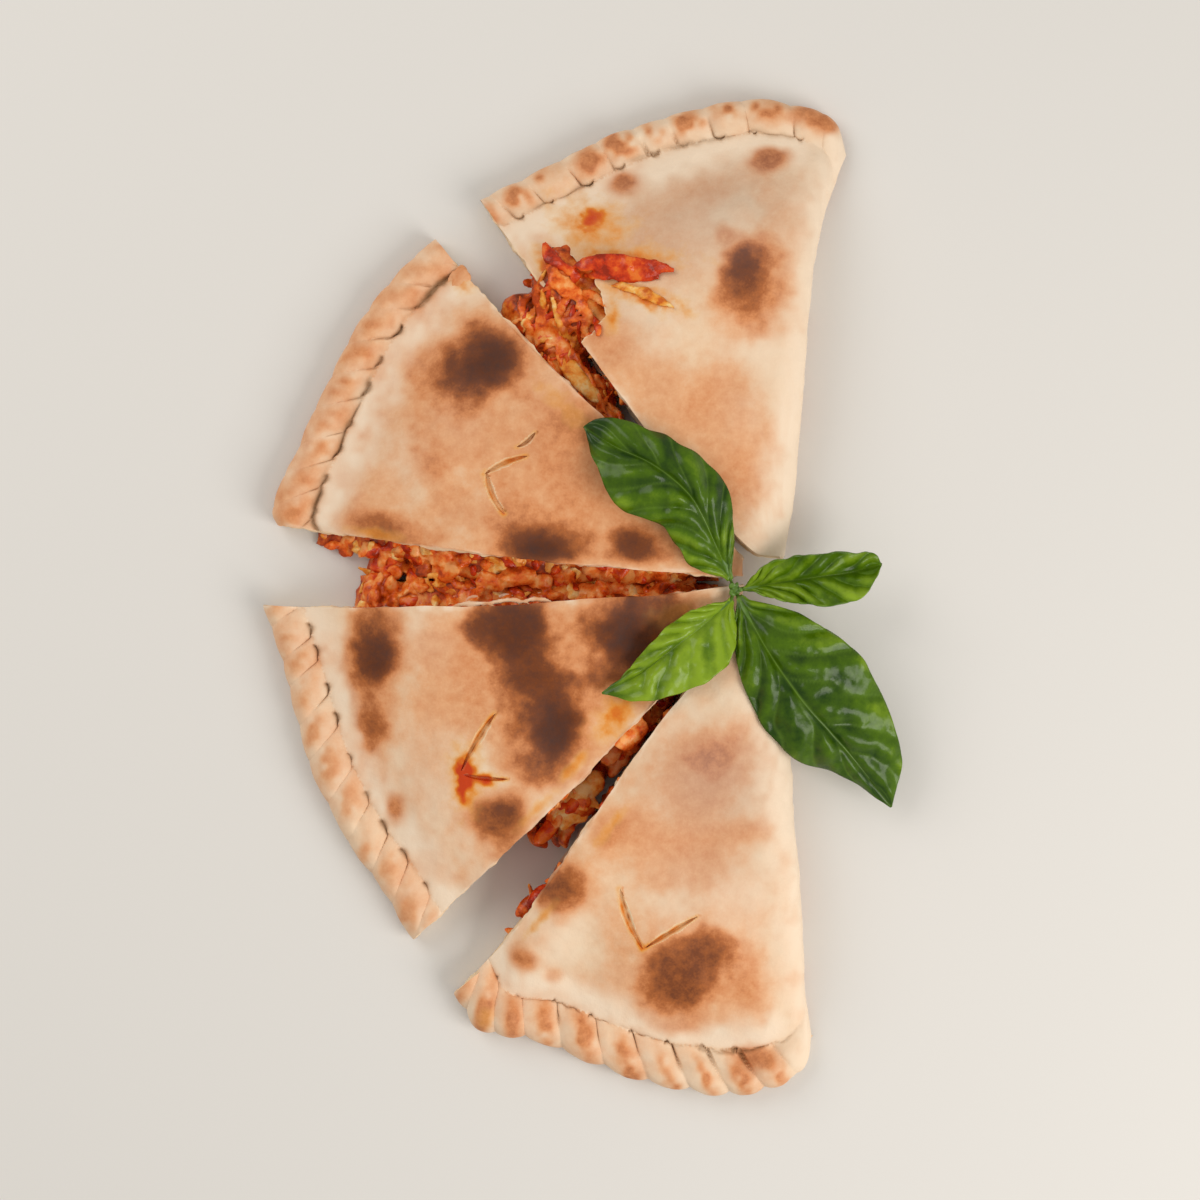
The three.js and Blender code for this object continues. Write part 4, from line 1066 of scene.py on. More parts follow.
# %% Where filling has come out
SPILL_BOTTOM = 0.3
SPILL_ROOT = 3  # a ridge starts this far inside the cut
RIDGE_ROWS = 60
RIDGE_COLUMNS = 12
RIDGE_NOISE = [(1.2, 5)]
NEIGHBOURS = {  # by slice and cut side: the slice across the gap, and its cut side
    ("slice_1", 1): ("slice_2", 0),
    ("slice_2", 1): ("slice_3", 0),
    ("slice_3", 0): ("slice_2", 1),
    ("slice_3", 1): ("slice_4", 0),
    ("slice_4", 0): ("slice_3", 1),
}
SPILLS = {  # cut side, from and to between tip and rim, share of the gap, share of the crust's height
    "slice_2": [(1, 0.05, 0.8, 0.52, 0.64), (1, 0.68, 0.92, 0.2, 0.5)],
    "slice_3": [(0, 0.05, 0.82, 0.52, 0.6), (1, 0.12, 0.5, 0.95, 0.5), (1, 0.4, 0.64, 0.85, 0.36)],
}
LUMPS = {  # place, radii, turn in degrees
    "slice_1": [
        ((-6, 93, 11), (9, 9, 9.6), 0),
        ((-6, 101.4, 12), (6, 5, 6), 0),
        ((-1, 84, 11), (9, 8, 9.4), 30),
        ((-15, 84, 7.5), (10, 7, 7.6), -20),
        ((-6, 73, 8), (8, 10, 8), 40),
        ((3, 62, 7.6), (5, 10, 7.6), 40),
        ((12, 50, 7), (4, 10, 7.6), 40),
        ((9, 97.4, 17.4), (12, 3.4, 4.4), -2),
    ],
    "slice_3": [
        ((13.4, -40.4, 15.4), (4.4, 3.8, 4.6), 40),
        ((-2.2, -63.4, 11), (7.4, 4.6, 3.6), 8),
        ((-13, -72, 8), (3, 5, 4), 40),
    ],
    "slice_4": [((-12.4, -91, 8), (4, 3.4, 3.2), 40)],
}


def in_gap(piece, side, out, share):
    """A place in the gap beside a cut, a share of the way to the neighbour's cut."""
    other_name, other_side = NEIGHBOURS[piece.name, side]
    own = piece.beside(side, out, FIT)
    other = slices[other_name].beside(other_side, out, FIT)
    gap = np.linalg.norm(other - own, axis=-1, keepdims=True)
    return mix(own, other, share - FIT / 2 / gap)


def spill_ridge(piece, side, start, end, reach, height):
    out = np.linspace(start, end, RIDGE_ROWS)
    across = np.linspace(0, 1, RIDGE_COLUMNS)
    inside = piece.beside(side, out, -SPILL_ROOT)
    outside = in_gap(piece, side, out, reach)
    plan = mix(inside[:, None], outside[:, None], across[None, :, None])
    lift = height * crust_height(piece, float(side), out)
    ends = np.sqrt(np.maximum(1 - (2 * (out - start) / (end - start) - 1) ** 8, 0.05))
    top = (lift * ends)[:, None] * mix(1.05, 0.86, across) * (1 - 0.1 * across**5)
    top = top + piece.layered(plan.reshape(-1, 2), RIDGE_NOISE, side).reshape(top.shape)
    high = np.dstack([plan, np.maximum(top, 1)])
    low = np.dstack([plan, np.full(top.shape, SPILL_BOTTOM)])
    points, faces = ring_block(np.concatenate([high, low[:, ::-1]], 1))
    faces = faces if side == 1 else faces[:, ::-1]
    return points, faces


def unit_ball(subdivisions):
    form = bmesh.new()
    bmesh.ops.create_icosphere(form, subdivisions=subdivisions, radius=1)
    points = np.array([vertex.co for vertex in form.verts])
    faces = np.array([[vertex.index for vertex in face.verts] for face in form.faces])
    form.free()
    return points, faces


def turned(points, degrees):
    angle = math.radians(degrees)
    x = points[:, 0] * math.cos(angle) - points[:, 1] * math.sin(angle)
    y = points[:, 0] * math.sin(angle) + points[:, 1] * math.cos(angle)
    return np.column_stack([x, y, points[:, 2]])


def joined(parts):
    """One list of points and faces from many."""
    starts = np.cumsum([0, *(len(points) for points, _ in parts)])
    points = np.concatenate([points for points, _ in parts])
    faces = np.concatenate([faces + start for (_, faces), start in zip(parts, starts)])
    return points, faces


print(sum(len(ridges) for ridges in SPILLS.values()), "ridges of spilled filling")

# %% Build the cores
CORE_VOXEL = 0.95
CORE_KEPT = 0.8  # share of the faces that thinning keeps
CORE_NOISE = [(0.8, 4.5), (0.45, 2.0)]
CORE_SHRINK = 0.25
SET_BACK = 1.2  # the core starts about this far inside a cut
SET_BACK_WAVE = 0.8  # give or take this much
DIMPLES = {  # hollows in the filling: x, y, radius, depth
    "slice_2": [(-53.6, 9.2, 2.4, 6), (-44.6, 8.6, 2, 5)],
    "slice_3": [(5.4, -53.6, 4.4, 5), (-9.6, -69.6, 2.4, 4), (-53.6, 9, 2.8, 6), (-46.4, 9.4, 2.2, 5)],
}


def melted(name, parts, voxel, kept):
    """Joins closed shells into one surface with a voxel remesh, then thins its faces to the share kept."""
    body = new_body(name, *joined(parts))
    modifier = body.modifiers.new("melt", "REMESH")
    modifier.mode = "VOXEL"
    modifier.voxel_size = voxel * MM
    modifier = body.modifiers.new("soften", "SMOOTH")
    modifier.iterations = 2
    modifier = body.modifiers.new("thin", "DECIMATE")
    modifier.ratio = kept
    keep_modified(body)
    return body


def settled(body, points):
    """Moves the points of a body, none of them into the table, and shades it smooth."""
    points[:, 2] = np.maximum(points[:, 2], SPILL_BOTTOM)
    body.data.vertices.foreach_set("co", (points * MM).astype(np.float32).ravel())
    body.data.update()
    body.data.shade_smooth()
    return body


def build_core(piece):
    def set_back(side, out):
        return SET_BACK_WAVE * np.sin(29 * out + 2 * side + piece.seed) - SET_BACK

    parts = [pocket(piece, FIT + 0.3, set_back)]
    parts += [spill_ridge(piece, *ridge) for ridge in SPILLS.get(piece.name, [])]
    for place, radii, turn in LUMPS.get(piece.name, []):
        ball, faces = unit_ball(3)
        parts.append((turned(ball * radii, turn) + place, faces))
    body = melted(f"{piece.name}_core", parts, CORE_VOXEL, CORE_KEPT)
    points = places_of(body.data)
    normals = np.array([vertex.normal for vertex in body.data.vertices])
    shift = piece.layered(points, CORE_NOISE, 60, 0) - CORE_SHRINK
    for *place, radius, depth in DIMPLES.get(piece.name, []):
        shift = shift - depth * bell(np.hypot(*(points[:, :2] - place).T), radius)
    return settled(body, points + normals * shift[:, None])


cores = {name: build_core(piece) for name, piece in slices.items()}
print("faces:", face_counts(cores))

# %% [markdown]
# ## Pieces in the filling
# What shows in the gaps is chopped ham, tomato and cheese, each piece a few millimetres long. Particles
# could scatter them, but they are lost when a model is exported, so every piece is made as a real mesh.
# Rays find the surface of the core, straight down into the gaps and sideways into the cuts, and each hit
# gets a piece that is half sunk into it.

# %% Shapes of the pieces
BALL = unit_ball(3)
SMALL_BALL = unit_ball(2)
SMALL = 2  # a piece whose longest half size is less is made from the small ball
BOW = 0.35  # greatest bend of a piece, as a share of its half length
TIPPED = 0.35  # how far a piece tips from the surface that it lies on


def morsel(random, radii, square, rough, small=False):
    """A chopped piece. square is 2 for an egg and more for a cube with round edges."""
    points, faces = SMALL_BALL if small else BALL
    points = points / np.sum(np.abs(points) ** square, axis=1, keepdims=True) ** (1 / square)
    seed = int(random.integers(1, 9999))
    lumps = rough * noise(points + 3, 0.75, seed) + 0.5 * rough * noise(points + 9, 0.35, seed)
    bow = random.uniform(-BOW, BOW)
    points = points * (1 + lumps)[:, None] * radii
    points[:, 2] += bow * points[:, 0] ** 2 / radii[0]
    return points, faces


def basis_for(random, normal):
    """Axes of a piece that lies on a surface, turned at random and tipped a little."""
    normal = unit(np.asarray(normal) + random.normal(0, TIPPED, 3))
    along = unit(np.cross(normal, random.normal(0, 1, 3)))
    return np.array([along, np.cross(normal, along), normal])


KINDS = {  # share of the pieces, half sizes in mm from and to, squareness, roughness
    "ham": (0.48, (1.8, 1.3, 0.9), (4.4, 2.8, 1.8), 2.6, 0.3),
    "tomato": (0.3, (1.5, 1.2, 0.8), (3.6, 2.4, 1.5), 2.1, 0.34),
    "cheese": (0.22, (1.4, 1.0, 0.5), (4.2, 2.0, 1.1), 2.0, 0.4),
}


def pieces_on(hits, random, scale=1.0, sink=0.25):
    """Chopped pieces at hits, by kind. sink is how deep they lie, as a share of their half height."""
    found = {kind: [] for kind in KINDS}
    names = list(KINDS)
    shares = [KINDS[kind][0] for kind in names]
    for place, normal in hits:
        kind = names[random.choice(len(names), p=shares)]
        _, least, most, square, rough = KINDS[kind]
        radii = scale * np.array([random.uniform(low, high) for low, high in zip(least, most)])
        points, faces = morsel(random, radii, square, rough, small=radii[0] < SMALL)
        axes = basis_for(random, normal)
        sunk = place - axes[2] * radii[2] * (sink + random.uniform(-0.3, 0.3))
        found[kind].append((points @ axes + sunk, faces))
    return found


print("kinds of pieces:", ", ".join(KINDS))

# %% Scatter the pieces
GAP_STEP = 3.1  # one piece for every patch this wide
GAP_JITTER = 0.6
GAP_MARGIN = 0.07  # rays reach this share of the gap beyond a ridge
FACE_STEP = 2.9
FACE_RANGE = (0.12, 0.84)  # where filling shows in a cut, between tip and rim
FACE_MARGIN = 1.2  # it ends this far under the lid
FACE_JITTER = 0.004
RAY_START = 4  # a ray starts this far beside the cut
RAY_LENGTH = 8


def in_dimple(place):
    dimples = [dimple for found in DIMPLES.values() for dimple in found]
    return any(math.dist(place[:2], (x, y)) < radius for x, y, radius, _ in dimples)


def gap_hits(piece, tree, random, side, start, end, reach):
    """Hits on a ridge, straight down into the gap."""
    hits = []
    run = np.linalg.norm(piece.plan(side, end) - piece.plan(side, start))
    for out in np.arange(start, end, GAP_STEP * (end - start) / run):
        inner = piece.beside(side, out, FIT)
        outer = in_gap(piece, side, out, reach)
        count = max(1, round(np.linalg.norm(outer - inner) / GAP_STEP))
        for share in (np.arange(count) + random.uniform(0, 1, count)) / count:
            x, y = mix(inner, outer, share) + random.normal(0, GAP_JITTER, 2)
            found = from_above(tree, (x, y))
            if found is not None:
                hits.append(found)
    return hits


def cut_hits(piece, tree, random, side):
    """Hits on the filling that shows in a cut, from beside it."""
    hits = []
    away = piece.outward[side]
    for out in np.arange(*FACE_RANGE, FACE_STEP / float(piece.length(side))):
        top = float(crust_height(piece, float(side), out)) - TOP_THICKNESS - FACE_MARGIN
        for level in np.arange(FLOOR_THICKNESS + 1, top, FACE_STEP):
            x, y = piece.beside(side, out + random.normal(0, FACE_JITTER), RAY_START)
            z = min(level + random.uniform(0, FACE_STEP), top)
            found = hit(tree, (x, y, z), (-away[0], -away[1], 0))
            if found is not None and np.linalg.norm(found[0][:2] - (x, y)) < RAY_LENGTH:
                hits.append(found)
    return hits


def scatter(piece):
    random = piece.random(200)
    tree = tree_of([cores[piece.name]])
    hits = []
    for side, start, end, reach, _ in SPILLS.get(piece.name, []):
        both = tree_of([cores[piece.name], cores[NEIGHBOURS[piece.name, side][0]]])
        hits += gap_hits(piece, both, random, side, start, end, reach + GAP_MARGIN)
    open_hits = [found for found in hits if not in_dimple(found[0])]
    found = pieces_on(open_hits, random, sink=0.5)
    for side in OPEN_SIDES[piece.fold]:
        in_cut = pieces_on(cut_hits(piece, tree, random, side), random, scale=0.8, sink=0.7)
        for kind, parts in in_cut.items():
            found[kind] += parts
    return found


chopped = {name: scatter(piece) for name, piece in slices.items()}
for name, kinds in chopped.items():
    print(name, {kind: len(parts) for kind, parts in kinds.items()})

# %% [markdown]
# ## The heap beside the first slice
# Where the crust is torn, shreds of ham and strips of tomato have pushed out in a heap. A shred is a soft
# flat band along a curve, thicker in the middle and a little wavy. The large ones are placed one by one, and
# many fine ones follow the surface of the heap downhill, as they fell.

# %% Shreds
SHRED_STEPS = 26
FLATNESS = 0.42  # thickness of a shred as a share of its width
SHREDS = [  # width, height above what it lies on, three points that it bends through, kind
    (4.4, 0.8, [(-11.4, 106), (-9.6, 99), (0, 95.4)], "tomato"),
    (5.4, 1.7, [(-2, 98.4), (12, 100.4), (27.6, 96.4)], "tomato"),
    (4.6, 0.7, [(1, 95.6), (11, 95.6), (23.4, 94.6)], "tomato"),
    (3.4, 0.7, [(9, 92.8), (17, 91), (28, 85.2)], "cheese"),
    (4.4, 0.8, [(-10, 99), (-7, 92), (-1, 88)], "ham"),
    (3.4, 0.6, [(-14, 95), (-12, 88), (-11, 79)], "ham"),
    (3.2, 0.5, [(-18, 90), (-17, 83), (-14, 74)], "ham"),
    (3.6, 0.8, [(-4, 95), (-1, 88), (4, 81)], "ham"),
    (3.2, 0.9, [(-9, 90), (-7, 82), (-2, 75)], "cheese"),
    (3, 0.6, [(-6, 78), (-1, 70), (5, 62)], "ham"),
    (3.2, 0.8, [(-1, 90), (4, 92), (7.4, 86)], "ham"),
    (2.6, 0.8, [(3, 84), (6, 80), (5, 76)], "tomato"),
    (3, 0.7, [(-13, 83), (-7, 80), (1, 83)], "ham"),
]


def band(line, width, thickness, random, sides=10):
    """A soft flat band along a line of points."""
    along = unit(np.gradient(line, axis=0))
    side = unit(np.cross(along, (0, 0, 1.0)))
    lift = np.cross(side, along)
    share = np.linspace(0, 1, len(line))
    swell = np.maximum(np.sin(math.pi * share), 0.06) ** 0.4
    seed = int(random.integers(1, 9999))
    wave = noise(line, 2.4, seed)
    angles = np.linspace(0, 2 * math.pi, sides, endpoint=False)
    half = 0.5 * width * swell * (1 + 0.35 * wave + 0.2 * noise(line, 1.1, seed + 2))
    deep = 0.5 * thickness * swell * (1 + 0.35 * noise(line, 1.7, seed + 1))
    ring = line[:, None] + side[:, None] * (half[:, None] * np.cos(angles))[..., None]
    curl = 0.35 * wave[:, None] * np.cos(angles) * half[:, None]
    ring = ring + lift[:, None] * (deep[:, None] * np.sin(angles) + curl)[..., None]
    return ring_block(ring[:, ::-1])


def evened(line, rounds):
    """Smooths a line of points."""
    for _ in range(rounds):
        line[1:-1] = (line[:-2] + 2 * line[1:-1] + line[2:]) / 4
    return line


DRAPE_STEP = 0.7
DRAPE_LIFT = 0.5
DRAPE_TURN = 0.12  # how far its direction wanders at each step


def draped(tree, start, angle, length, random):
    """A line of points that follows the surface under it."""
    places = []
    x, y = start
    for _ in range(round(length / DRAPE_STEP)):
        found = from_above(tree, (x, y))
        if found is None:
            break
        places.append(found[0] + (0, 0, DRAPE_LIFT))
        angle += random.normal(0, DRAPE_TURN)
        x += DRAPE_STEP * math.cos(angle)
        y += DRAPE_STEP * math.sin(angle)
    return evened(np.array(places), 3) if len(places) > 4 else places


HEAP_OUTLINE = [
    (-22, 92), (-10, 100), (4, 94), (6, 84), (4, 74), (12, 60), (22, 46), (16, 44), (4, 56), (-10, 68),
]
FINE_SHREDS = 52
FINE_KINDS = ["ham", "ham", "ham", "tomato", "tomato", "cheese"]
DOWNHILL = math.radians(-115)  # most shreds lie this way


def inside_outline(place, outline):
    x, y = place
    within = False
    for (x0, y0), (x1, y1) in zip(outline, [*outline[1:], outline[0]]):
        if (y0 > y) != (y1 > y) and x < x0 + (x1 - x0) * (y - y0) / (y1 - y0):
            within = not within
    return within


def build_heap():
    """Adds large shreds, fine shreds and chopped pieces to the filling of the first slice."""
    piece = slices["slice_1"]
    random = piece.random(300)
    found = chopped["slice_1"]
    tree = tree_of([cores["slice_1"], crusts["slice_1"]])
    for width, height, path, kind in SHREDS:
        line = [from_above(tree, place)[0] for place in bend(path, np.linspace(0, 1, SHRED_STEPS))]
        line = evened(np.array(line), 5) + (0, 0, height)
        line = line + 0.5 * noise_shift(line, 3, 5, 3)
        found[kind].append(band(line, width, FLATNESS * width, random, sides=16))
    tree = tree_of([cores["slice_1"]])
    outline = np.array(HEAP_OUTLINE, float)
    low, high = outline.min(0), outline.max(0)
    made = 0
    hits = []
    while made < FINE_SHREDS:
        start = random.uniform(low, high)
        if not inside_outline(start, HEAP_OUTLINE):
            continue
        line = draped(tree, start, DOWNHILL + random.normal(0, 0.4), random.uniform(7, 14), random)
        if len(line) > 6:
            kind = random.choice(FINE_KINDS)
            found[kind].append(band(line, random.uniform(1.3, 2.8), random.uniform(0.8, 1.5), random))
            made += 1
        place = random.uniform(low, high)
        surface = from_above(tree, place)
        if surface is not None and inside_outline(place, HEAP_OUTLINE) and made % 3 == 0:
            hits.append(surface)
    for kind, parts in pieces_on(hits, random, scale=0.9).items():
        found[kind] += parts


LARGE_PIECES = [  # slice, kind, place, half sizes, turn in degrees
    ("slice_3", "ham", (-19, 6.2, 15), (5.4, 3.2, 2.2), 10),
    ("slice_3", "ham", (-27, 4.4, 14.6), (4.4, 3, 2.2), -20),
    ("slice_3", "ham", (-12, 4.6, 14.4), (3.8, 2.4, 1.8), 0),
    ("slice_3", "ham", (14, -40.2, 20.4), (6, 4.8, 3), 40),
    ("slice_3", "ham", (9.4, -46.6, 13.6), (4, 2.6, 2.4), 60),
    ("slice_3", "cheese", (-2.6, -62.4, 12.6), (8.6, 3.8, 2), 52),
    ("slice_3", "cheese", (3.4, -57, 11.6), (5, 3.4, 1.8), 40),
    ("slice_3", "tomato", (-10.6, -70.6, 11), (4.4, 2.4, 2.2), 48),
    ("slice_1", "cheese", (-1.6, 66, 14), (9, 2.8, 2), -52),
    ("slice_4", "tomato", (-13, -90.6, 11.6), (4.4, 2.2, 2), 48),
    ("slice_4", "ham", (-16.4, -93.6, 8), (4, 2.2, 2), 55),
]
LARGE_SEED = 500


def build_large_pieces():
    """The few pieces that are large enough to be placed one by one."""
    random = np.random.default_rng(LARGE_SEED)
    for name, kind, place, radii, turn in LARGE_PIECES:
        points, faces = morsel(random, np.array(radii), 2.2, 0.3)
        chopped[name][kind].append((turned(points, turn) + place, faces))


build_heap()
build_large_pieces()
print("heap:", {kind: len(parts) for kind, parts in chopped["slice_1"].items()}, "pieces")

# %% Join the pieces by kind
PIECE_VOXEL = 0.5
PIECE_KEPT = 0.5


def build_chopped(name, kind, parts):
    """Pieces of one kind, which stick together where they touch."""
    body = melted(f"{name}_{kind}", parts, PIECE_VOXEL, PIECE_KEPT)
    return settled(body, places_of(body.data))


fillings = {name: {"core": core} for name, core in cores.items()}
for name, kinds in chopped.items():
    for kind, parts in kinds.items():
        fillings[name][kind] = build_chopped(name, kind, parts)
print("faces:", {name: face_counts(kinds) for name, kinds in fillings.items()})

# %% [markdown]
# ## Rags of dough
# Where the knife pulled at the crust, thin floury rags hang over its edge. Each one is a soft band like the
# shreds, held at the height of the crust that it is still part of.

# %% Rags of dough
RAGS = {  # how pale and how browned, then width and three points that each rag bends through
    "slice_2": (0.1, 0.34, [
        (4.4, [(-40, 93.6), (-37.4, 96.4), (-35, 99.8)]),
        (4.6, [(-38, 92), (-36.8, 95.6), (-35, 99.6)]),
        (4, [(-36, 91), (-35.6, 94.6), (-35, 98.8)]),
    ]),
    "slice_3": (0.5, 0.26, [
        (1.9, [(-39, -3.6), (-32, -0.8), (-25, -3)]),
        (2, [(-29, -3), (-22, 0.6), (-15, -2.4)]),
        (1.6, [(-18.6, -2.6), (-13, 0.6), (-8.4, -1.8)]),
        (1.2, [(-26, -1.6), (-23, 1.6), (-19.4, -0.2)]),
        (1.1, [(-35, -2.2), (-33.4, 0.6), (-30, 0)]),
        (1.1, [(-15, -1.4), (-13.6, 1.4), (-11.6, 0.8)]),
    ]),
}
RAG_DROOP = 1.4  # a rag may hang this far below its highest point
RAG_ROOT = 1.1  # and its first end starts this deep in the crust
RAG_VOXEL = 0.4
RAG_KEPT = 0.8


def build_rags(name):
    """All rags of a slice as one body, with the masks of the dough."""
    piece = slices[name]
    random = piece.random(400)
    tree = tree_of([crusts[name], *fillings[name].values()])
    parts = []
    floury, browned, paths = RAGS[name]
    for width, path in paths:
        plan = bend(path, np.linspace(0, 1, SHRED_STEPS))
        found = [from_above(tree, place) for place in plan]
        levels = np.array([0 if place is None else place[0][2] for place in found])
        line = np.column_stack([plan, np.maximum(levels, levels.max() - RAG_DROOP)])
        line = evened(line, 4) + 0.35 * noise_shift(line, 2, 5, 3)
        line[:, 2] -= RAG_ROOT * np.linspace(1, 0, len(line))
        parts.append(band(line, width, 1, random, sides=14))
    body = melted(f"{name}_rags", parts, RAG_VOXEL, RAG_KEPT)
    patches = piece.noise(places_of(body.data), 2.5, 12)
    add_mask(body.data, "skin", np.ones(len(patches)))
    add_mask(body.data, "pale", floury * (1 + patches))
    add_mask(body.data, "bake_and_shade", browned - 0.12 * patches)
    body.data.shade_smooth()
    return body


rags = {name: build_rags(name) for name in RAGS}
print("faces:", face_counts(rags))

# %% [markdown]
# ## The basil sprig
# Four leaves spread from one stem. A basil leaf is a thin glossy sheet: it is quilted, because the blade
# swells between the side veins, and it folds a little along its midrib. A leaf could be a flat card with a
# picture on it, but here it is a grid between a bent midrib and two edges, so that it has its real swells,
# and its veins are a mask from the same formulas.

# %% Shape of the leaves
LEAF_THICKNESS = 0.55
LEAF_CLEARANCE = 1.1  # middle of a leaf above the crust that it lies on
LEAF_ROWS = 110
LEAF_COLUMNS = 56
SIDE_VEINS = 6
QUILTING = 1.5  # how far the blade swells between its side veins
FRAY = 0.5  # how far the edge of a leaf strays
BLUNT_END = 0.04  # share of the length over which an end is rounded
SIDE_VEIN = (0.4, 0.06)  # strength in the mask, and width as a share of the spacing
MIDRIB_WIDTH = 0.45
LEAF_NET = [(0.9, 4.2), (0.6, 1.9)]  # amount and size of the fine swells
LEAVES = {  # points of the midrib and of both edges, depth of the fold, waves at the rim, lightness of the green (for the left leaf partly a painted sheen), a painted sheen on the left edge and painted shade at the curled tip
    "upper": dict(
        rib=[(44.4, 5, 22), (39, 17, 29), (32.1, 29.5, 34.5), (21.3, 38.5, 36), (10.2, 43.8, 33.5),
             (0.9, 49.9, 28.6)],
        left=[(32.7, 9.4), (23.7, 20.8), (11.1, 25.9), (4.8, 38)],
        right=[(45, 17), (42, 33.4), (30.3, 43.9), (14.7, 50.8), (5.1, 52.4)],
        cup=-4.5, wave=1, light=0.32, rim_light=0.1, dark_tip=0.7,
    ),
    "right": dict(
        rib=[(48.3, 2.2, 21.4), (58.2, 4, 23), (70.2, 5.8, 22.5), (80.7, 7.3, 19.5), (89.7, 9.6, 18)],
        left=[(54.3, 9.1), (66, 12.1), (79.2, 13), (87.3, 12.7)],
        right=[(57.9, -0.7), (67.2, -2.5), (77.1, -2.5), (85.2, 1.3)],
        cup=3.5, wave=0.6, light=0.56, rim_light=0, dark_tip=0,
    ),
    "left": dict(
        rib=[(45, -1, 21.4), (37.2, -7.6, 26.5), (28.2, -14.5, 29), (17.7, -22.6, 29), (6.3, -28.6, 27.6)],
        left=[(45.6, -16), (38.7, -23.8), (26.7, -29.5), (15.3, -30.7)],
        right=[(35.7, -3.1), (26.1, -8.5), (17.7, -17.5), (13.2, -22.6)],
        cup=-1.5, wave=0.8, light=0.88, rim_light=0.1, dark_tip=0.5,
    ),
    "lower": dict(
        rib=[(46.6, 0, 21.8), (55.2, -16, 26.5), (65.7, -31, 26), (79.2, -46, 19.5), (93.3, -63.4, 9)],
        left=[(64.5, -5.2), (80.1, -15.1), (89.7, -29.5), (96, -48.1)],
        right=[(45.9, -17.5), (53.1, -36.7), (64.2, -48.4), (79.2, -53.8)],
        cup=-5, wave=1.1, light=0.24, rim_light=0.26, dark_tip=0.1,
    ),
}
FIRST_LEAF_SEED = 70


def build_leaf(name, facts, tree, seed):
    rib, _ = line_through(facts["rib"])
    ends = [facts["rib"][0][:2], facts["rib"][-1][:2]]
    edges = [line_through([ends[0], *facts[side], ends[1]])[0] for side in ("left", "right")]
    part = np.linspace(0, 1, LEAF_ROWS + 1)[:, None]
    share = np.linspace(-1, 1, LEAF_COLUMNS + 1)[None]
    spine = rib(part[:, 0])
    ahead = rib(part[:, 0] + 0.02)[:, :2] - rib(part[:, 0] - 0.02)[:, :2]
    side_way = sideways(unit(ahead))
    rims = []
    for edge, side in zip(edges, (3, 9)):
        frayed = noise(np.column_stack([part[:, 0] * 60, np.full(len(part), side)]), 4, seed)
        rims.append(edge(part[:, 0]) + FRAY * frayed[:, None] * side_way)
    rim = np.where(share[..., None] < 0, rims[0][:, None], rims[1][:, None])
    plan = mix(spine[:, None, :2], rim, np.abs(share)[..., None])
    end = np.minimum(part, 1 - part)
    blunt = -share * mix(0.9, 0.3, part) * np.maximum(0, 1 - end / BLUNT_END)
    plan = plan + side_way[:, None] * blunt[..., None]
    half = np.linalg.norm(rim - spine[:, None, :2], axis=-1)
    from_rib = np.abs(share) * half
    belly = np.sin(math.pi * part)
    wavy = noise(np.column_stack([part[:, 0] * 9, np.zeros(len(part))]), 1, seed)[:, None]
    slant = mix(0.42, 0.24, smooth(part / 0.6))
    phase = (part - slant * np.abs(share) ** 0.8 - 0.05 * wavy) * SIDE_VEINS + np.where(share < 0, 0.0, 0.35)
    to_vein = np.abs(phase - np.round(phase))
    flat = plan.reshape(-1, 2)
    quilt = smooth(to_vein / 0.5) ** 0.7 * smooth(from_rib / 3) * smooth(end / 0.06)
    quilt = quilt * (1 + 0.6 * noise(flat, 9, seed + 3).reshape(quilt.shape))
    net = layered(flat, LEAF_NET, seed + 1).reshape(quilt.shape)
    groove = 1.1 * belly * (1 - np.exp(-np.abs(share) * 5)) - 0.35 * bell(from_rib, 0.7)
    ripple = facts["wave"] * belly * np.sin(part * 22 + 2 * np.sign(share)) * share**2
    free = spine[:, 2:] + facts["cup"] * belly * share**2 + groove + ripple
    free = free + QUILTING * (quilt - 0.5) * belly**0.5 + 0.45 * net * smooth(from_rib / 2)
    floor = np.zeros(free.shape)
    for index in np.ndindex(free.shape):
        found = from_above(tree, plan[index])
        floor[index] = found[0][2] if found is not None else 0
    sheet = np.dstack([plan, np.maximum(free, floor + LEAF_CLEARANCE)])
    grid = np.arange(sheet.shape[0] * sheet.shape[1]).reshape(sheet.shape[:2])
    faces = stitched(grid)
    points = sheet.reshape(-1, 3)
    normals = point_normals(points, faces)
    if normals[:, 2].mean() < 0:
        faces = faces[:, ::-1]
    normals *= np.where(normals[:, 2:] < 0, -1, 1)
    loop = np.concatenate([grid[:, 0], grid[-1, 1:], grid[-2::-1, -1], grid[0, -2::-1]])
    count = len(points)
    thin = 0.5 * LEAF_THICKNESS
    rim_faces = stitch(loop, loop + count)
    faces = np.concatenate([faces, faces[:, ::-1] + count, rim_faces])
    strength, width = SIDE_VEIN
    side_veins = strength * bell(to_vein, width) * smooth(from_rib / 1.5)
    veins = np.maximum(side_veins, bell(from_rib, MIDRIB_WIDTH) * (1 - 0.5 * part)).ravel()
    across = np.column_stack([(2.4 * phase).ravel(), from_rib.ravel() / 8])
    streak = noise(across, 1, seed + 5).reshape(free.shape)
    # the green's own tone, with painted highlights on the swells between the veins, painted sheen streaks
    # along them, a painted sheen on the left edge and painted shade at the curled tip
    blade = facts["light"] + 0.24 * (quilt - 0.5) + 0.2 * streak + 0.12 * net
    blade = blade + 0.24 * smooth(1 - part / 0.4) - facts["dark_tip"] * smooth((part - 0.86) / 0.1)
    blade = (blade + facts["rim_light"] * smooth((-share - 0.35) / 0.6)).ravel()
    masks = {"vein": np.tile(veins, 2), "blade": np.tile(blade, 2), "back": np.repeat([0.0, 1.0], count)}
    points = np.concatenate([points + thin * normals, points - thin * normals])
    body = new_body(f"basil_leaf_{name}", points, faces, masks)
    flip_outwards(body.data)
    body.data.shade_smooth()
    return body


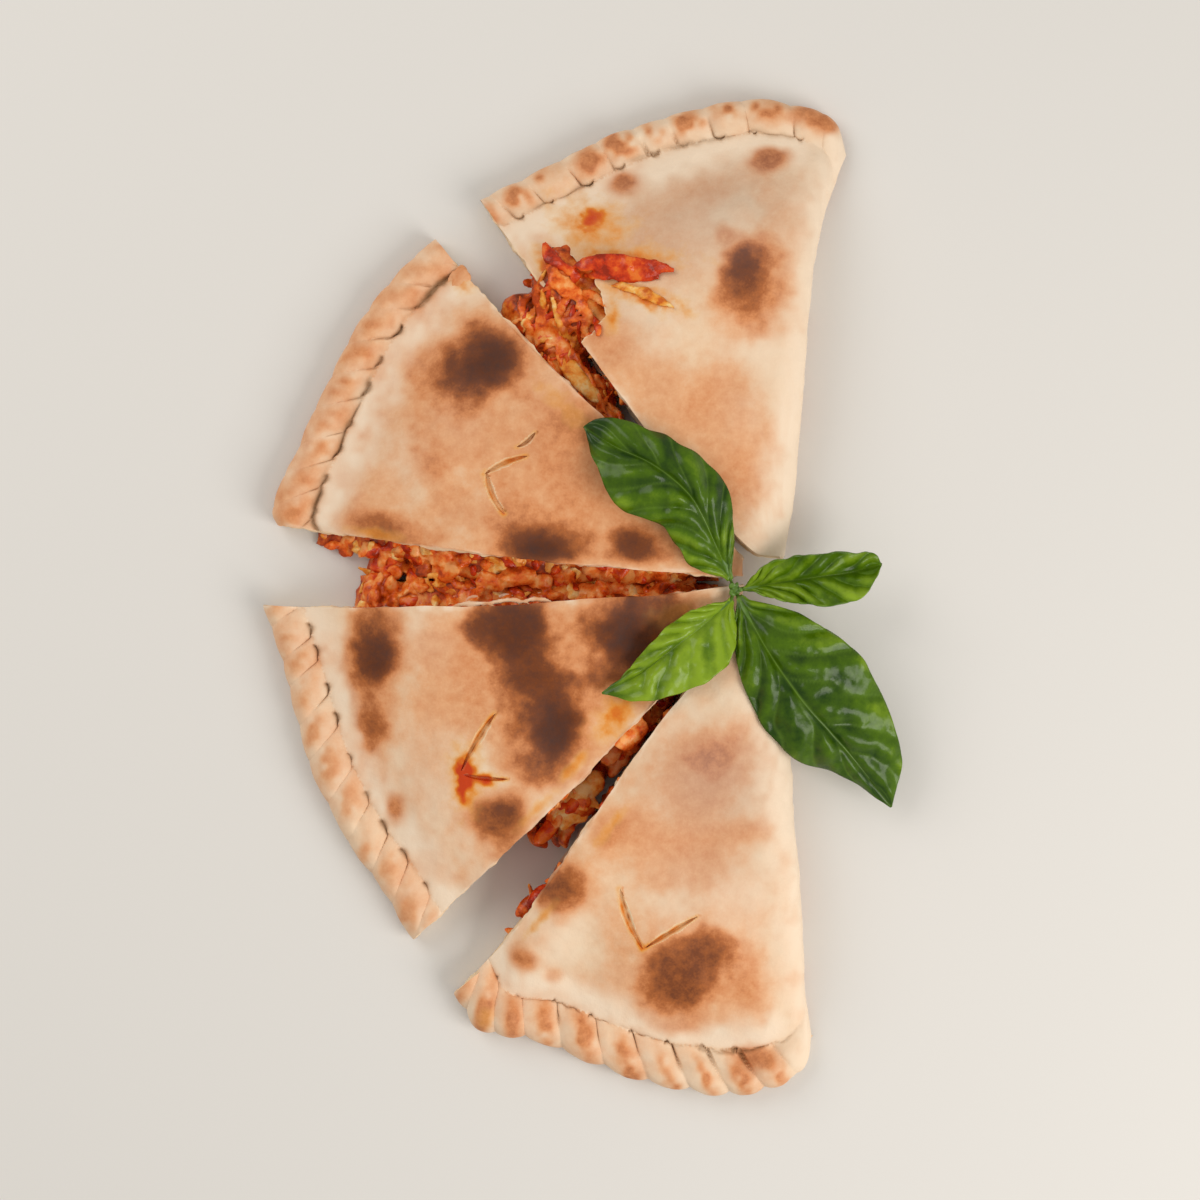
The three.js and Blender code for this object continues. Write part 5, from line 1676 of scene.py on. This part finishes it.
def flip_outwards(mesh):
    """Turns faces so that a closed mesh points outwards."""
    form = bmesh.new()
    form.from_mesh(mesh)
    bmesh.ops.recalc_face_normals(form, faces=form.faces)
    form.to_mesh(mesh)
    form.free()


crust_tree = tree_of(crusts.values())
basil = []
for name, facts in LEAVES.items():
    basil.append(build_leaf(name, facts, crust_tree, FIRST_LEAF_SEED + len(basil)))
print("leaves:", [len(leaf.data.polygons) for leaf in basil], "faces")

# %% Bud and stems
BUD_PLACE = np.array([45.8, 2, 21.6])
BUD_SIZE = np.array([3, 3.2, 2.6])  # width, depth and height of the ball in the middle
BUD_LEAVES = 6
BUD_SEED = 90
STEM_SIDES = 12


def build_stems():
    """Short stems from the bud into the midribs, and the small folded leaves of the bud itself."""
    random = np.random.default_rng(BUD_SEED)
    parts = []
    for facts in LEAVES.values():
        rib, _ = line_through(facts["rib"])
        line = np.vstack([BUD_PLACE - (0, 0, 0.5), rib(np.linspace(0.02, 0.12, 8)) - (0, 0, 0.9)])
        parts.append(band(line, 2, 1.8, random, sides=STEM_SIDES))
    for number in range(BUD_LEAVES):
        angle = 2 * math.pi * number / BUD_LEAVES + random.uniform(-0.3, 0.3)
        reach = random.uniform(1.6, 3.2)
        way = np.array([math.cos(angle), math.sin(angle), 0])
        start = BUD_PLACE + 0.3 * way
        tip = BUD_PLACE + reach * way + (0, 0, random.uniform(0.2, 1.4))
        line = bend([start, mix(start, tip, 0.5) + (0, 0, 1.3), tip], np.linspace(0, 1, 12))
        parts.append(band(line, random.uniform(1.2, 2), 0.6, random, sides=STEM_SIDES))
    ball, faces = unit_ball(3)
    parts.append((ball * 0.5 * BUD_SIZE + BUD_PLACE, faces))
    body = new_body("basil_stems", *joined(parts))
    body.data.shade_smooth()
    return body


basil.append(build_stems())
print("stems:", len(basil[-1].data.polygons), "faces")

# %% [markdown]
# ## Shader groups
# Some effects belong to more than one food here. Fine mottling breaks up every even colour, and a moist
# film makes sauce, ham and cheese shine in patches. Each effect is a node group with its own inputs, built
# once and placed in every material that needs it.

# %% Helpers for shader nodes
NOISE_ROUGHNESS = 0.55


def add_node(tree, kind, inputs=None, **settings):
    """A shader node with its settings. A value that is an output socket is linked, any other is set."""
    node = tree.nodes.new(kind)
    for key, value in settings.items():
        setattr(node, key, value)
    for key, value in (inputs or {}).items():
        if isinstance(value, bpy.types.NodeSocket):
            tree.links.new(value, node.inputs[key])
        else:
            node.inputs[key].default_value = value
    return node


def maths(tree, operation, first, second=0.0, limit=False):
    """One sum. With limit, the result stays from 0 to 1."""
    inputs = {0: first, 1: second}
    return add_node(tree, "ShaderNodeMath", inputs, operation=operation, use_clamp=limit).outputs[0]


def blend_colour(tree, part, first, second):
    node = add_node(tree, "ShaderNodeMix", {"Factor": part}, data_type="RGBA")
    colours = [socket for socket in node.inputs if socket.type == "RGBA"]
    for socket, value in zip(colours, (first, second)):
        if isinstance(value, bpy.types.NodeSocket):
            tree.links.new(value, socket)
        else:
            socket.default_value = (*value, 1)
    return next(socket for socket in node.outputs if socket.type == "RGBA")


def noise_node(tree, size, detail=3.0):
    """Noise from 0 to 1 whose waves are about size millimetres wide."""
    place = add_node(tree, "ShaderNodeTexCoord").outputs["Object"]
    inputs = {"Vector": place, "Scale": 1 / (size * MM), "Detail": detail, "Roughness": NOISE_ROUGHNESS}
    return add_node(tree, "ShaderNodeTexNoise", inputs).outputs["Fac"]


def add_bump(tree, shader, height, strength, depth):
    """Relief too small for the mesh. depth is in millimetres."""
    inputs = {"Height": height, "Strength": strength, "Distance": depth * MM}
    bump = add_node(tree, "ShaderNodeBump", inputs)
    tree.links.new(bump.outputs["Normal"], shader.inputs["Normal"])


def ramp(tree, value, stops):
    """Colours by value: stops are (place, colour)."""
    node = add_node(tree, "ShaderNodeValToRGB", {"Fac": value})
    elements = node.color_ramp.elements
    while len(elements) < len(stops):
        elements.new(1)
    for element, (place, colour) in zip(elements, stops):
        element.position = place
        element.color = (*colour, 1)
    return node.outputs["Color"]


def new_group(name, inputs, outputs):
    group = bpy.data.node_groups.new(name, "ShaderNodeTree")
    for socket, kind, value in inputs:
        made = group.interface.new_socket(socket, in_out="INPUT", socket_type=kind)
        made.default_value = value
    for socket, kind in outputs:
        group.interface.new_socket(socket, in_out="OUTPUT", socket_type=kind)
    return group, add_node(group, "NodeGroupInput").outputs, add_node(group, "NodeGroupOutput").inputs


def new_material(name, **constants):
    """A material with one Principled shader. Constants are set on the shader's own sockets."""
    material = bpy.data.materials.new(name)
    material.use_nodes = True
    shader = material.node_tree.nodes["Principled BSDF"]
    for socket, value in constants.items():
        shader.inputs[socket.replace("_", " ")].default_value = value
    return material, material.node_tree, shader


print("node helpers ready")

# %% Mottling and moist film
FLOAT = "NodeSocketFloat"
COARSE_MOTTLE = 2.6
FINE_MOTTLE = 0.7
MOIST_PATCH = 2.2


def build_mottling():
    """Shifts a value up and down by noise of two sizes."""
    group, given, made = new_group(
        "fine mottling",
        [("Value", FLOAT, 0.5), ("Coarse", FLOAT, 0.1), ("Fine", FLOAT, 0.1)],
        [("Value", FLOAT)],
    )
    total = given["Value"]
    for size, amount in ((COARSE_MOTTLE, given["Coarse"]), (FINE_MOTTLE, given["Fine"])):
        centred = maths(group, "SUBTRACT", noise_node(group, size), 0.5)
        total = maths(group, "ADD", total, maths(group, "MULTIPLY", centred, amount))
    group.links.new(total, made["Value"])
    return group


def build_moist_film():
    """Roughness of wet food: smooth where the film is thick, duller between."""
    group, given, made = new_group(
        "moist film",
        [("Wet", FLOAT, 0.2), ("Dry", FLOAT, 0.55), ("Patch", FLOAT, 0.5)],
        [("Roughness", FLOAT)],
    )
    patches = maths(group, "SUBTRACT", noise_node(group, MOIST_PATCH), given["Patch"])
    patches = maths(group, "ADD", maths(group, "MULTIPLY", patches, 4.0), 0.5, limit=True)
    span = maths(group, "SUBTRACT", given["Dry"], given["Wet"])
    roughness = maths(group, "ADD", given["Wet"], maths(group, "MULTIPLY", patches, span))
    group.links.new(roughness, made["Roughness"])
    return group


mottling = build_mottling()
moist_film = build_moist_film()


def placed_group(tree, group, **inputs):
    """A group in a material, with its own values."""
    return add_node(tree, "ShaderNodeGroup", inputs, node_tree=group).outputs[0]


def mottled(tree, value, coarse, fine):
    return placed_group(tree, mottling, Value=value, Coarse=coarse, Fine=fine)


print("shader groups:", [group.name for group in bpy.data.node_groups])

# %% [markdown]
# ## Baked dough
# The masks tell the shader where the dough is skin or crumb, how brown it is and where shade is painted on,
# where it stayed pale or has a painted highlight along the fold, where grey shade is painted on the top,
# where oil soaked in and where shade is painted into a crease. A colour ramp turns browning into colour.
# Mottling is strongest halfway up the ramp, where real dough is freckled. Dough is dull, so roughness stays
# high and drops a little with oil.

# %% Dough material
BAKING_COLOURS = [  # how far the dough has baked, and its colour
    (0.0, (0.82, 0.63, 0.44)),
    (0.14, (0.79, 0.53, 0.33)),
    (0.30, (0.76, 0.39, 0.19)),
    (0.45, (0.67, 0.265, 0.100)),
    (0.60, (0.42, 0.125, 0.030)),
    (0.76, (0.19, 0.047, 0.008)),
    (0.90, (0.105, 0.024, 0.004)),
    (1.0, (0.062, 0.014, 0.003)),
]
PALE_FLOUR_AND_HIGHLIGHT = (0.87, 0.70, 0.53)
CRUMB = (0.83, 0.64, 0.42)
OIL_STAINS = [  # more and more oil, and its colour on the dough
    (0.1, (0.79, 0.46, 0.13)),
    (0.45, (0.76, 0.29, 0.03)),
    (0.8, (0.64, 0.11, 0.008)),
    (1.0, (0.56, 0.05, 0.006)),
]
CREASE_SHADE = (0.30, 0.17, 0.075)
SHADE_GREY = (0.21, 0.19, 0.20)
DOUGH_ROUGHNESS = 0.6


def mask_node(tree, name):
    return add_node(tree, "ShaderNodeAttribute", attribute_name=name).outputs["Fac"]


def build_dough():
    material, tree, shader = new_material("bake_and_shaded_dough", Roughness=DOUGH_ROUGHNESS, Specular_IOR_Level=0.25)
    bake_and_shade = mask_node(tree, "bake_and_shade")
    freckle = maths(tree, "MULTIPLY", bake_and_shade, maths(tree, "SUBTRACT", 1.2, bake_and_shade))
    level = mottled(tree, bake_and_shade, maths(tree, "MULTIPLY", freckle, 0.8), maths(tree, "MULTIPLY", freckle, 0.4))
    colour = ramp(tree, level, BAKING_COLOURS)
    # grey painted shade on the upper body of the first slice and the middle of the fourth
    colour = blend_colour(tree, mottled(tree, mask_node(tree, "painted_shade"), 0.1, 0.05), colour, SHADE_GREY)
    unburnt = maths(tree, "SUBTRACT", 1.5, maths(tree, "MULTIPLY", bake_and_shade, 3.0), limit=True)
    # pale flour, and along the fold a painted highlight
    pale = maths(tree, "MULTIPLY", mask_node(tree, "pale"), 0.85)
    pale = maths(tree, "MULTIPLY", pale, unburnt, limit=True)
    colour = blend_colour(tree, pale, colour, PALE_FLOUR_AND_HIGHLIGHT)
    not_black = maths(tree, "SUBTRACT", 1.7, maths(tree, "MULTIPLY", bake_and_shade, 1.8), limit=True)
    fresh = maths(tree, "SUBTRACT", 1.7, maths(tree, "MULTIPLY", bake_and_shade, 2.5), limit=True)
    crumb = maths(tree, "SUBTRACT", 1.0, mask_node(tree, "skin"), limit=True)
    colour = blend_colour(tree, maths(tree, "MULTIPLY", crumb, fresh), colour, CRUMB)
    stain = mottled(tree, mask_node(tree, "oil"), 0.25, 0.12)
    soaked = maths(tree, "MULTIPLY", maths(tree, "SUBTRACT", stain, 0.06), 1.9, limit=True)
    soaked = maths(tree, "MULTIPLY", soaked, not_black)
    colour = blend_colour(tree, soaked, colour, ramp(tree, stain, OIL_STAINS))
    # painted shade in the creases of the rope and along the seam of the groove
    painted_crease_shade = maths(tree, "MULTIPLY", mask_node(tree, "painted_crease_shade"), 0.75, limit=True)
    colour = blend_colour(tree, painted_crease_shade, colour, CREASE_SHADE)
    tree.links.new(colour, shader.inputs["Base Color"])
    roughness = maths(tree, "SUBTRACT", DOUGH_ROUGHNESS, maths(tree, "MULTIPLY", soaked, 0.3))
    tree.links.new(roughness, shader.inputs["Roughness"])
    fine_grain = maths(tree, "MULTIPLY", noise_node(tree, 0.35, 2), 0.4)
    add_bump(tree, shader, maths(tree, "ADD", noise_node(tree, 1.1, 4), fine_grain), 0.4, 0.3)
    return material


dough = build_dough()
print("materials:", [material.name for material in bpy.data.materials])

# %% [markdown]
# ## Sauce, ham, tomato and cheese
# Every piece of filling is coated in the same orange oil and tomato sauce, so the four foods share one
# recipe: a ramp from their own colour to that of the sauce, driven by noise that is about as wide as one
# piece and by mottling over it. The moist film makes each of them shine in small patches.

# %% Filling materials
FOODS = {  # least and most roughness, width of its patches, colours from the food's own to the sauce on it
    "core": (0.14, 0.42, 5, [
        (0.78, 0.33, 0.08), (0.70, 0.17, 0.02), (0.50, 0.065, 0.006), (0.20, 0.026, 0.003),
    ]),
    "ham": (0.14, 0.4, 3.4, [
        (0.88, 0.38, 0.12), (0.82, 0.22, 0.035), (0.72, 0.11, 0.010), (0.42, 0.05, 0.004),
    ]),
    "tomato": (0.1, 0.32, 3.4, [
        (0.78, 0.17, 0.02), (0.68, 0.072, 0.009), (0.52, 0.033, 0.005), (0.29, 0.019, 0.003),
    ]),
    "cheese": (0.18, 0.42, 3.4, [
        (0.88, 0.62, 0.26), (0.86, 0.44, 0.10), (0.80, 0.28, 0.03), (0.58, 0.12, 0.012),
    ]),
}
WIDE_PATCHES = 11  # every food also has patches this wide


def build_food(kind, wet, dry, size, colours):
    material, tree, shader = new_material(f"filling_{kind}", Specular_IOR_Level=0.27)
    own = maths(tree, "ADD", noise_node(tree, size, 3), noise_node(tree, WIDE_PATCHES))
    start = maths(tree, "ADD", maths(tree, "MULTIPLY", own, 2.0), -1.5)
    value = mottled(tree, start, 0.8, 0.4)
    stops = [(0.1 + 0.8 * place / (len(colours) - 1), colour) for place, colour in enumerate(colours)]
    tree.links.new(ramp(tree, value, stops), shader.inputs["Base Color"])
    tree.links.new(placed_group(tree, moist_film, Wet=wet, Dry=dry, Patch=0.5), shader.inputs["Roughness"])
    add_bump(tree, shader, noise_node(tree, 1.1), 0.4, 0.4)
    return material


foods = {kind: build_food(kind, *recipe) for kind, recipe in FOODS.items()}
print("foods:", ", ".join(foods))

# %% [markdown]
# ## Basil
# The blade is deep green, lighter on the swells between the veins with a painted highlight and darker in the
# vein valleys with painted shade, and its veins are pale and yellowish. It is waxy, and a low roughness
# gives it soft highlights without a separate coat. The underside is paler.

# %% Basil materials
BLADE_DARK = (0.014, 0.045, 0.001)
BLADE_MIDDLE = (0.064, 0.135, 0.001)
BLADE_LIGHT = (0.22, 0.34, 0.016)
VEIN_PALE = (0.20, 0.34, 0.04)
BACK_PALE = (0.19, 0.30, 0.08)
STEM_DARK = (0.03, 0.09, 0.004)
STEM_LIGHT = (0.13, 0.25, 0.02)


def build_basil_leaf():
    material, tree, shader = new_material("basil_leaf", Roughness=0.24, Specular_IOR_Level=0.24)
    patches = maths(tree, "MULTIPLY", maths(tree, "SUBTRACT", noise_node(tree, 9, 3), 0.5), 0.5)
    # tone of the green, with the painted highlights, sheen and shade of the leaf mask
    blade = maths(tree, "ADD", mottled(tree, mask_node(tree, "blade"), 0.4, 0.2), patches)
    colour = ramp(tree, blade, [(0.05, BLADE_DARK), (0.5, BLADE_MIDDLE), (1.0, BLADE_LIGHT)])
    vein = maths(tree, "MULTIPLY", mask_node(tree, "vein"), 0.5, limit=True)
    colour = blend_colour(tree, vein, colour, VEIN_PALE)
    back = maths(tree, "MULTIPLY", mask_node(tree, "back"), 0.6)
    colour = blend_colour(tree, back, colour, BACK_PALE)
    tree.links.new(colour, shader.inputs["Base Color"])
    add_bump(tree, shader, noise_node(tree, 0.8), 0.25, 0.2)
    return material


def build_basil_stem():
    material, tree, shader = new_material("basil_stem", Roughness=0.42)
    colour = blend_colour(tree, noise_node(tree, 2.0), STEM_DARK, STEM_LIGHT)
    tree.links.new(colour, shader.inputs["Base Color"])
    return material


basil_leaf = build_basil_leaf()
basil_stem = build_basil_stem()
print("materials:", [material.name for material in bpy.data.materials])

# %% [markdown]
# ## Riding on the frame
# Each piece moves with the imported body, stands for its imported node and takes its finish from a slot.

# %% Dress the frame
def dress(body, material, node):
    body.data.materials.clear()
    body.data.materials.append(material)
    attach(body, "root")
    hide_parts(node)


for name, body in (*crusts.items(), *rags.items()):
    dress(body, dough, f"{name}_crust")
for name, kinds in fillings.items():
    for kind, body in kinds.items():
        dress(body, foods[kind], f"{name}_filling")
for body in basil:
    dress(body, basil_leaf if "leaf" in body.name else basil_stem, "basil_sprig")
print(len(crusts), "crusts,", len(fillings), "fillings and", len(basil), "basil pieces ride on the frame")

# %% [markdown]
# ## Floor, light and camera
# The calzone lies on a plain pale table. A large soft light comes from the lower right and, with the painted
# highlight along the fold, makes the fold edges nearly white. The creases hold shadows, deepened by painted
# shade, and a weaker light from the upper left opens those shadows.
# The camera looks straight down with a long lens, so that the slices show no perspective.

# %% Floor, light and camera
CAMERA_PLACE = (5.7, -1.05, 912)
LENS = 90
SENSOR_WIDTH = 36
TABLE_SIZE = 3000
TABLE_COLOUR = (0.72, 0.70, 0.67, 1)
TABLE_DROP = 0.2  # the table lies this far under the food, so that the two don't flicker through each other
ROOM_COLOUR = (1, 0.97, 0.92, 1)
ROOM_LIGHT = 0.51
LIGHTS = {  # place, power in watts, width, colour
    "key": ((700, -420, 620), 6.2, 600, (1, 0.97, 0.93)),
    "fill": ((-600, 500, 700), 4, 700, (1, 0.98, 0.95)),
}


def build_floor():
    material, _, shader = new_material("pale_table", Roughness=0.9, Specular_IOR_Level=0.2)
    shader.inputs["Base Color"].default_value = TABLE_COLOUR
    half = TABLE_SIZE / 2
    corners = [(-half, -half, 0), (half, -half, 0), (half, half, 0), (-half, half, 0)]
    floor = new_body("table", corners, [(0, 1, 2, 3)])
    floor.location.z = -TABLE_DROP * MM
    floor.data.materials.append(material)
    floor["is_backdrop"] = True


def soft_light(name, place, power, size, colour):
    """A square light at a place that shines towards the middle of the food."""
    light = bpy.data.lights.new(name, "AREA")
    light.energy = power
    light.size = size * MM
    light.color = colour
    lamp = linked(name, light)
    lamp.location = [value * MM for value in place]
    direction = -lamp.location.normalized()
    lamp.rotation_euler = direction.to_track_quat("-Z", "Y").to_euler()


def build_camera():
    camera = linked("camera", bpy.data.cameras.new("camera"))
    camera.data.lens = LENS
    camera.data.sensor_width = SENSOR_WIDTH
    camera.location = [value * MM for value in CAMERA_PLACE]
    bpy.context.scene.camera = camera


build_floor()
for name, facts in LIGHTS.items():
    soft_light(name, *facts)
world = bpy.data.worlds.new("pale room")
world.use_nodes = True
background = world.node_tree.nodes["Background"].inputs
background["Color"].default_value = ROOM_COLOUR
background["Strength"].default_value = ROOM_LIGHT
bpy.context.scene.world = world
build_camera()
bpy.context.scene.view_settings.view_transform = "Standard"
print("camera at", CAMERA_PLACE, "mm")

# %% [markdown]
# ## Size and finish
# The boxes of the imported solids and of the dressed food are both measured, and the second one is printed.
# The dressed food has to stay inside the imported size.

# %% Measure and finish
bpy.context.view_layer.update()
boxes = {"cad": cad_box, "visual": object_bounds()}
{name: [list(corner) for corner in box] for name, box in boxes.items()}
print("visual box in mm:", [[round(value / MM, 1) for value in corner] for corner in boxes["visual"]])
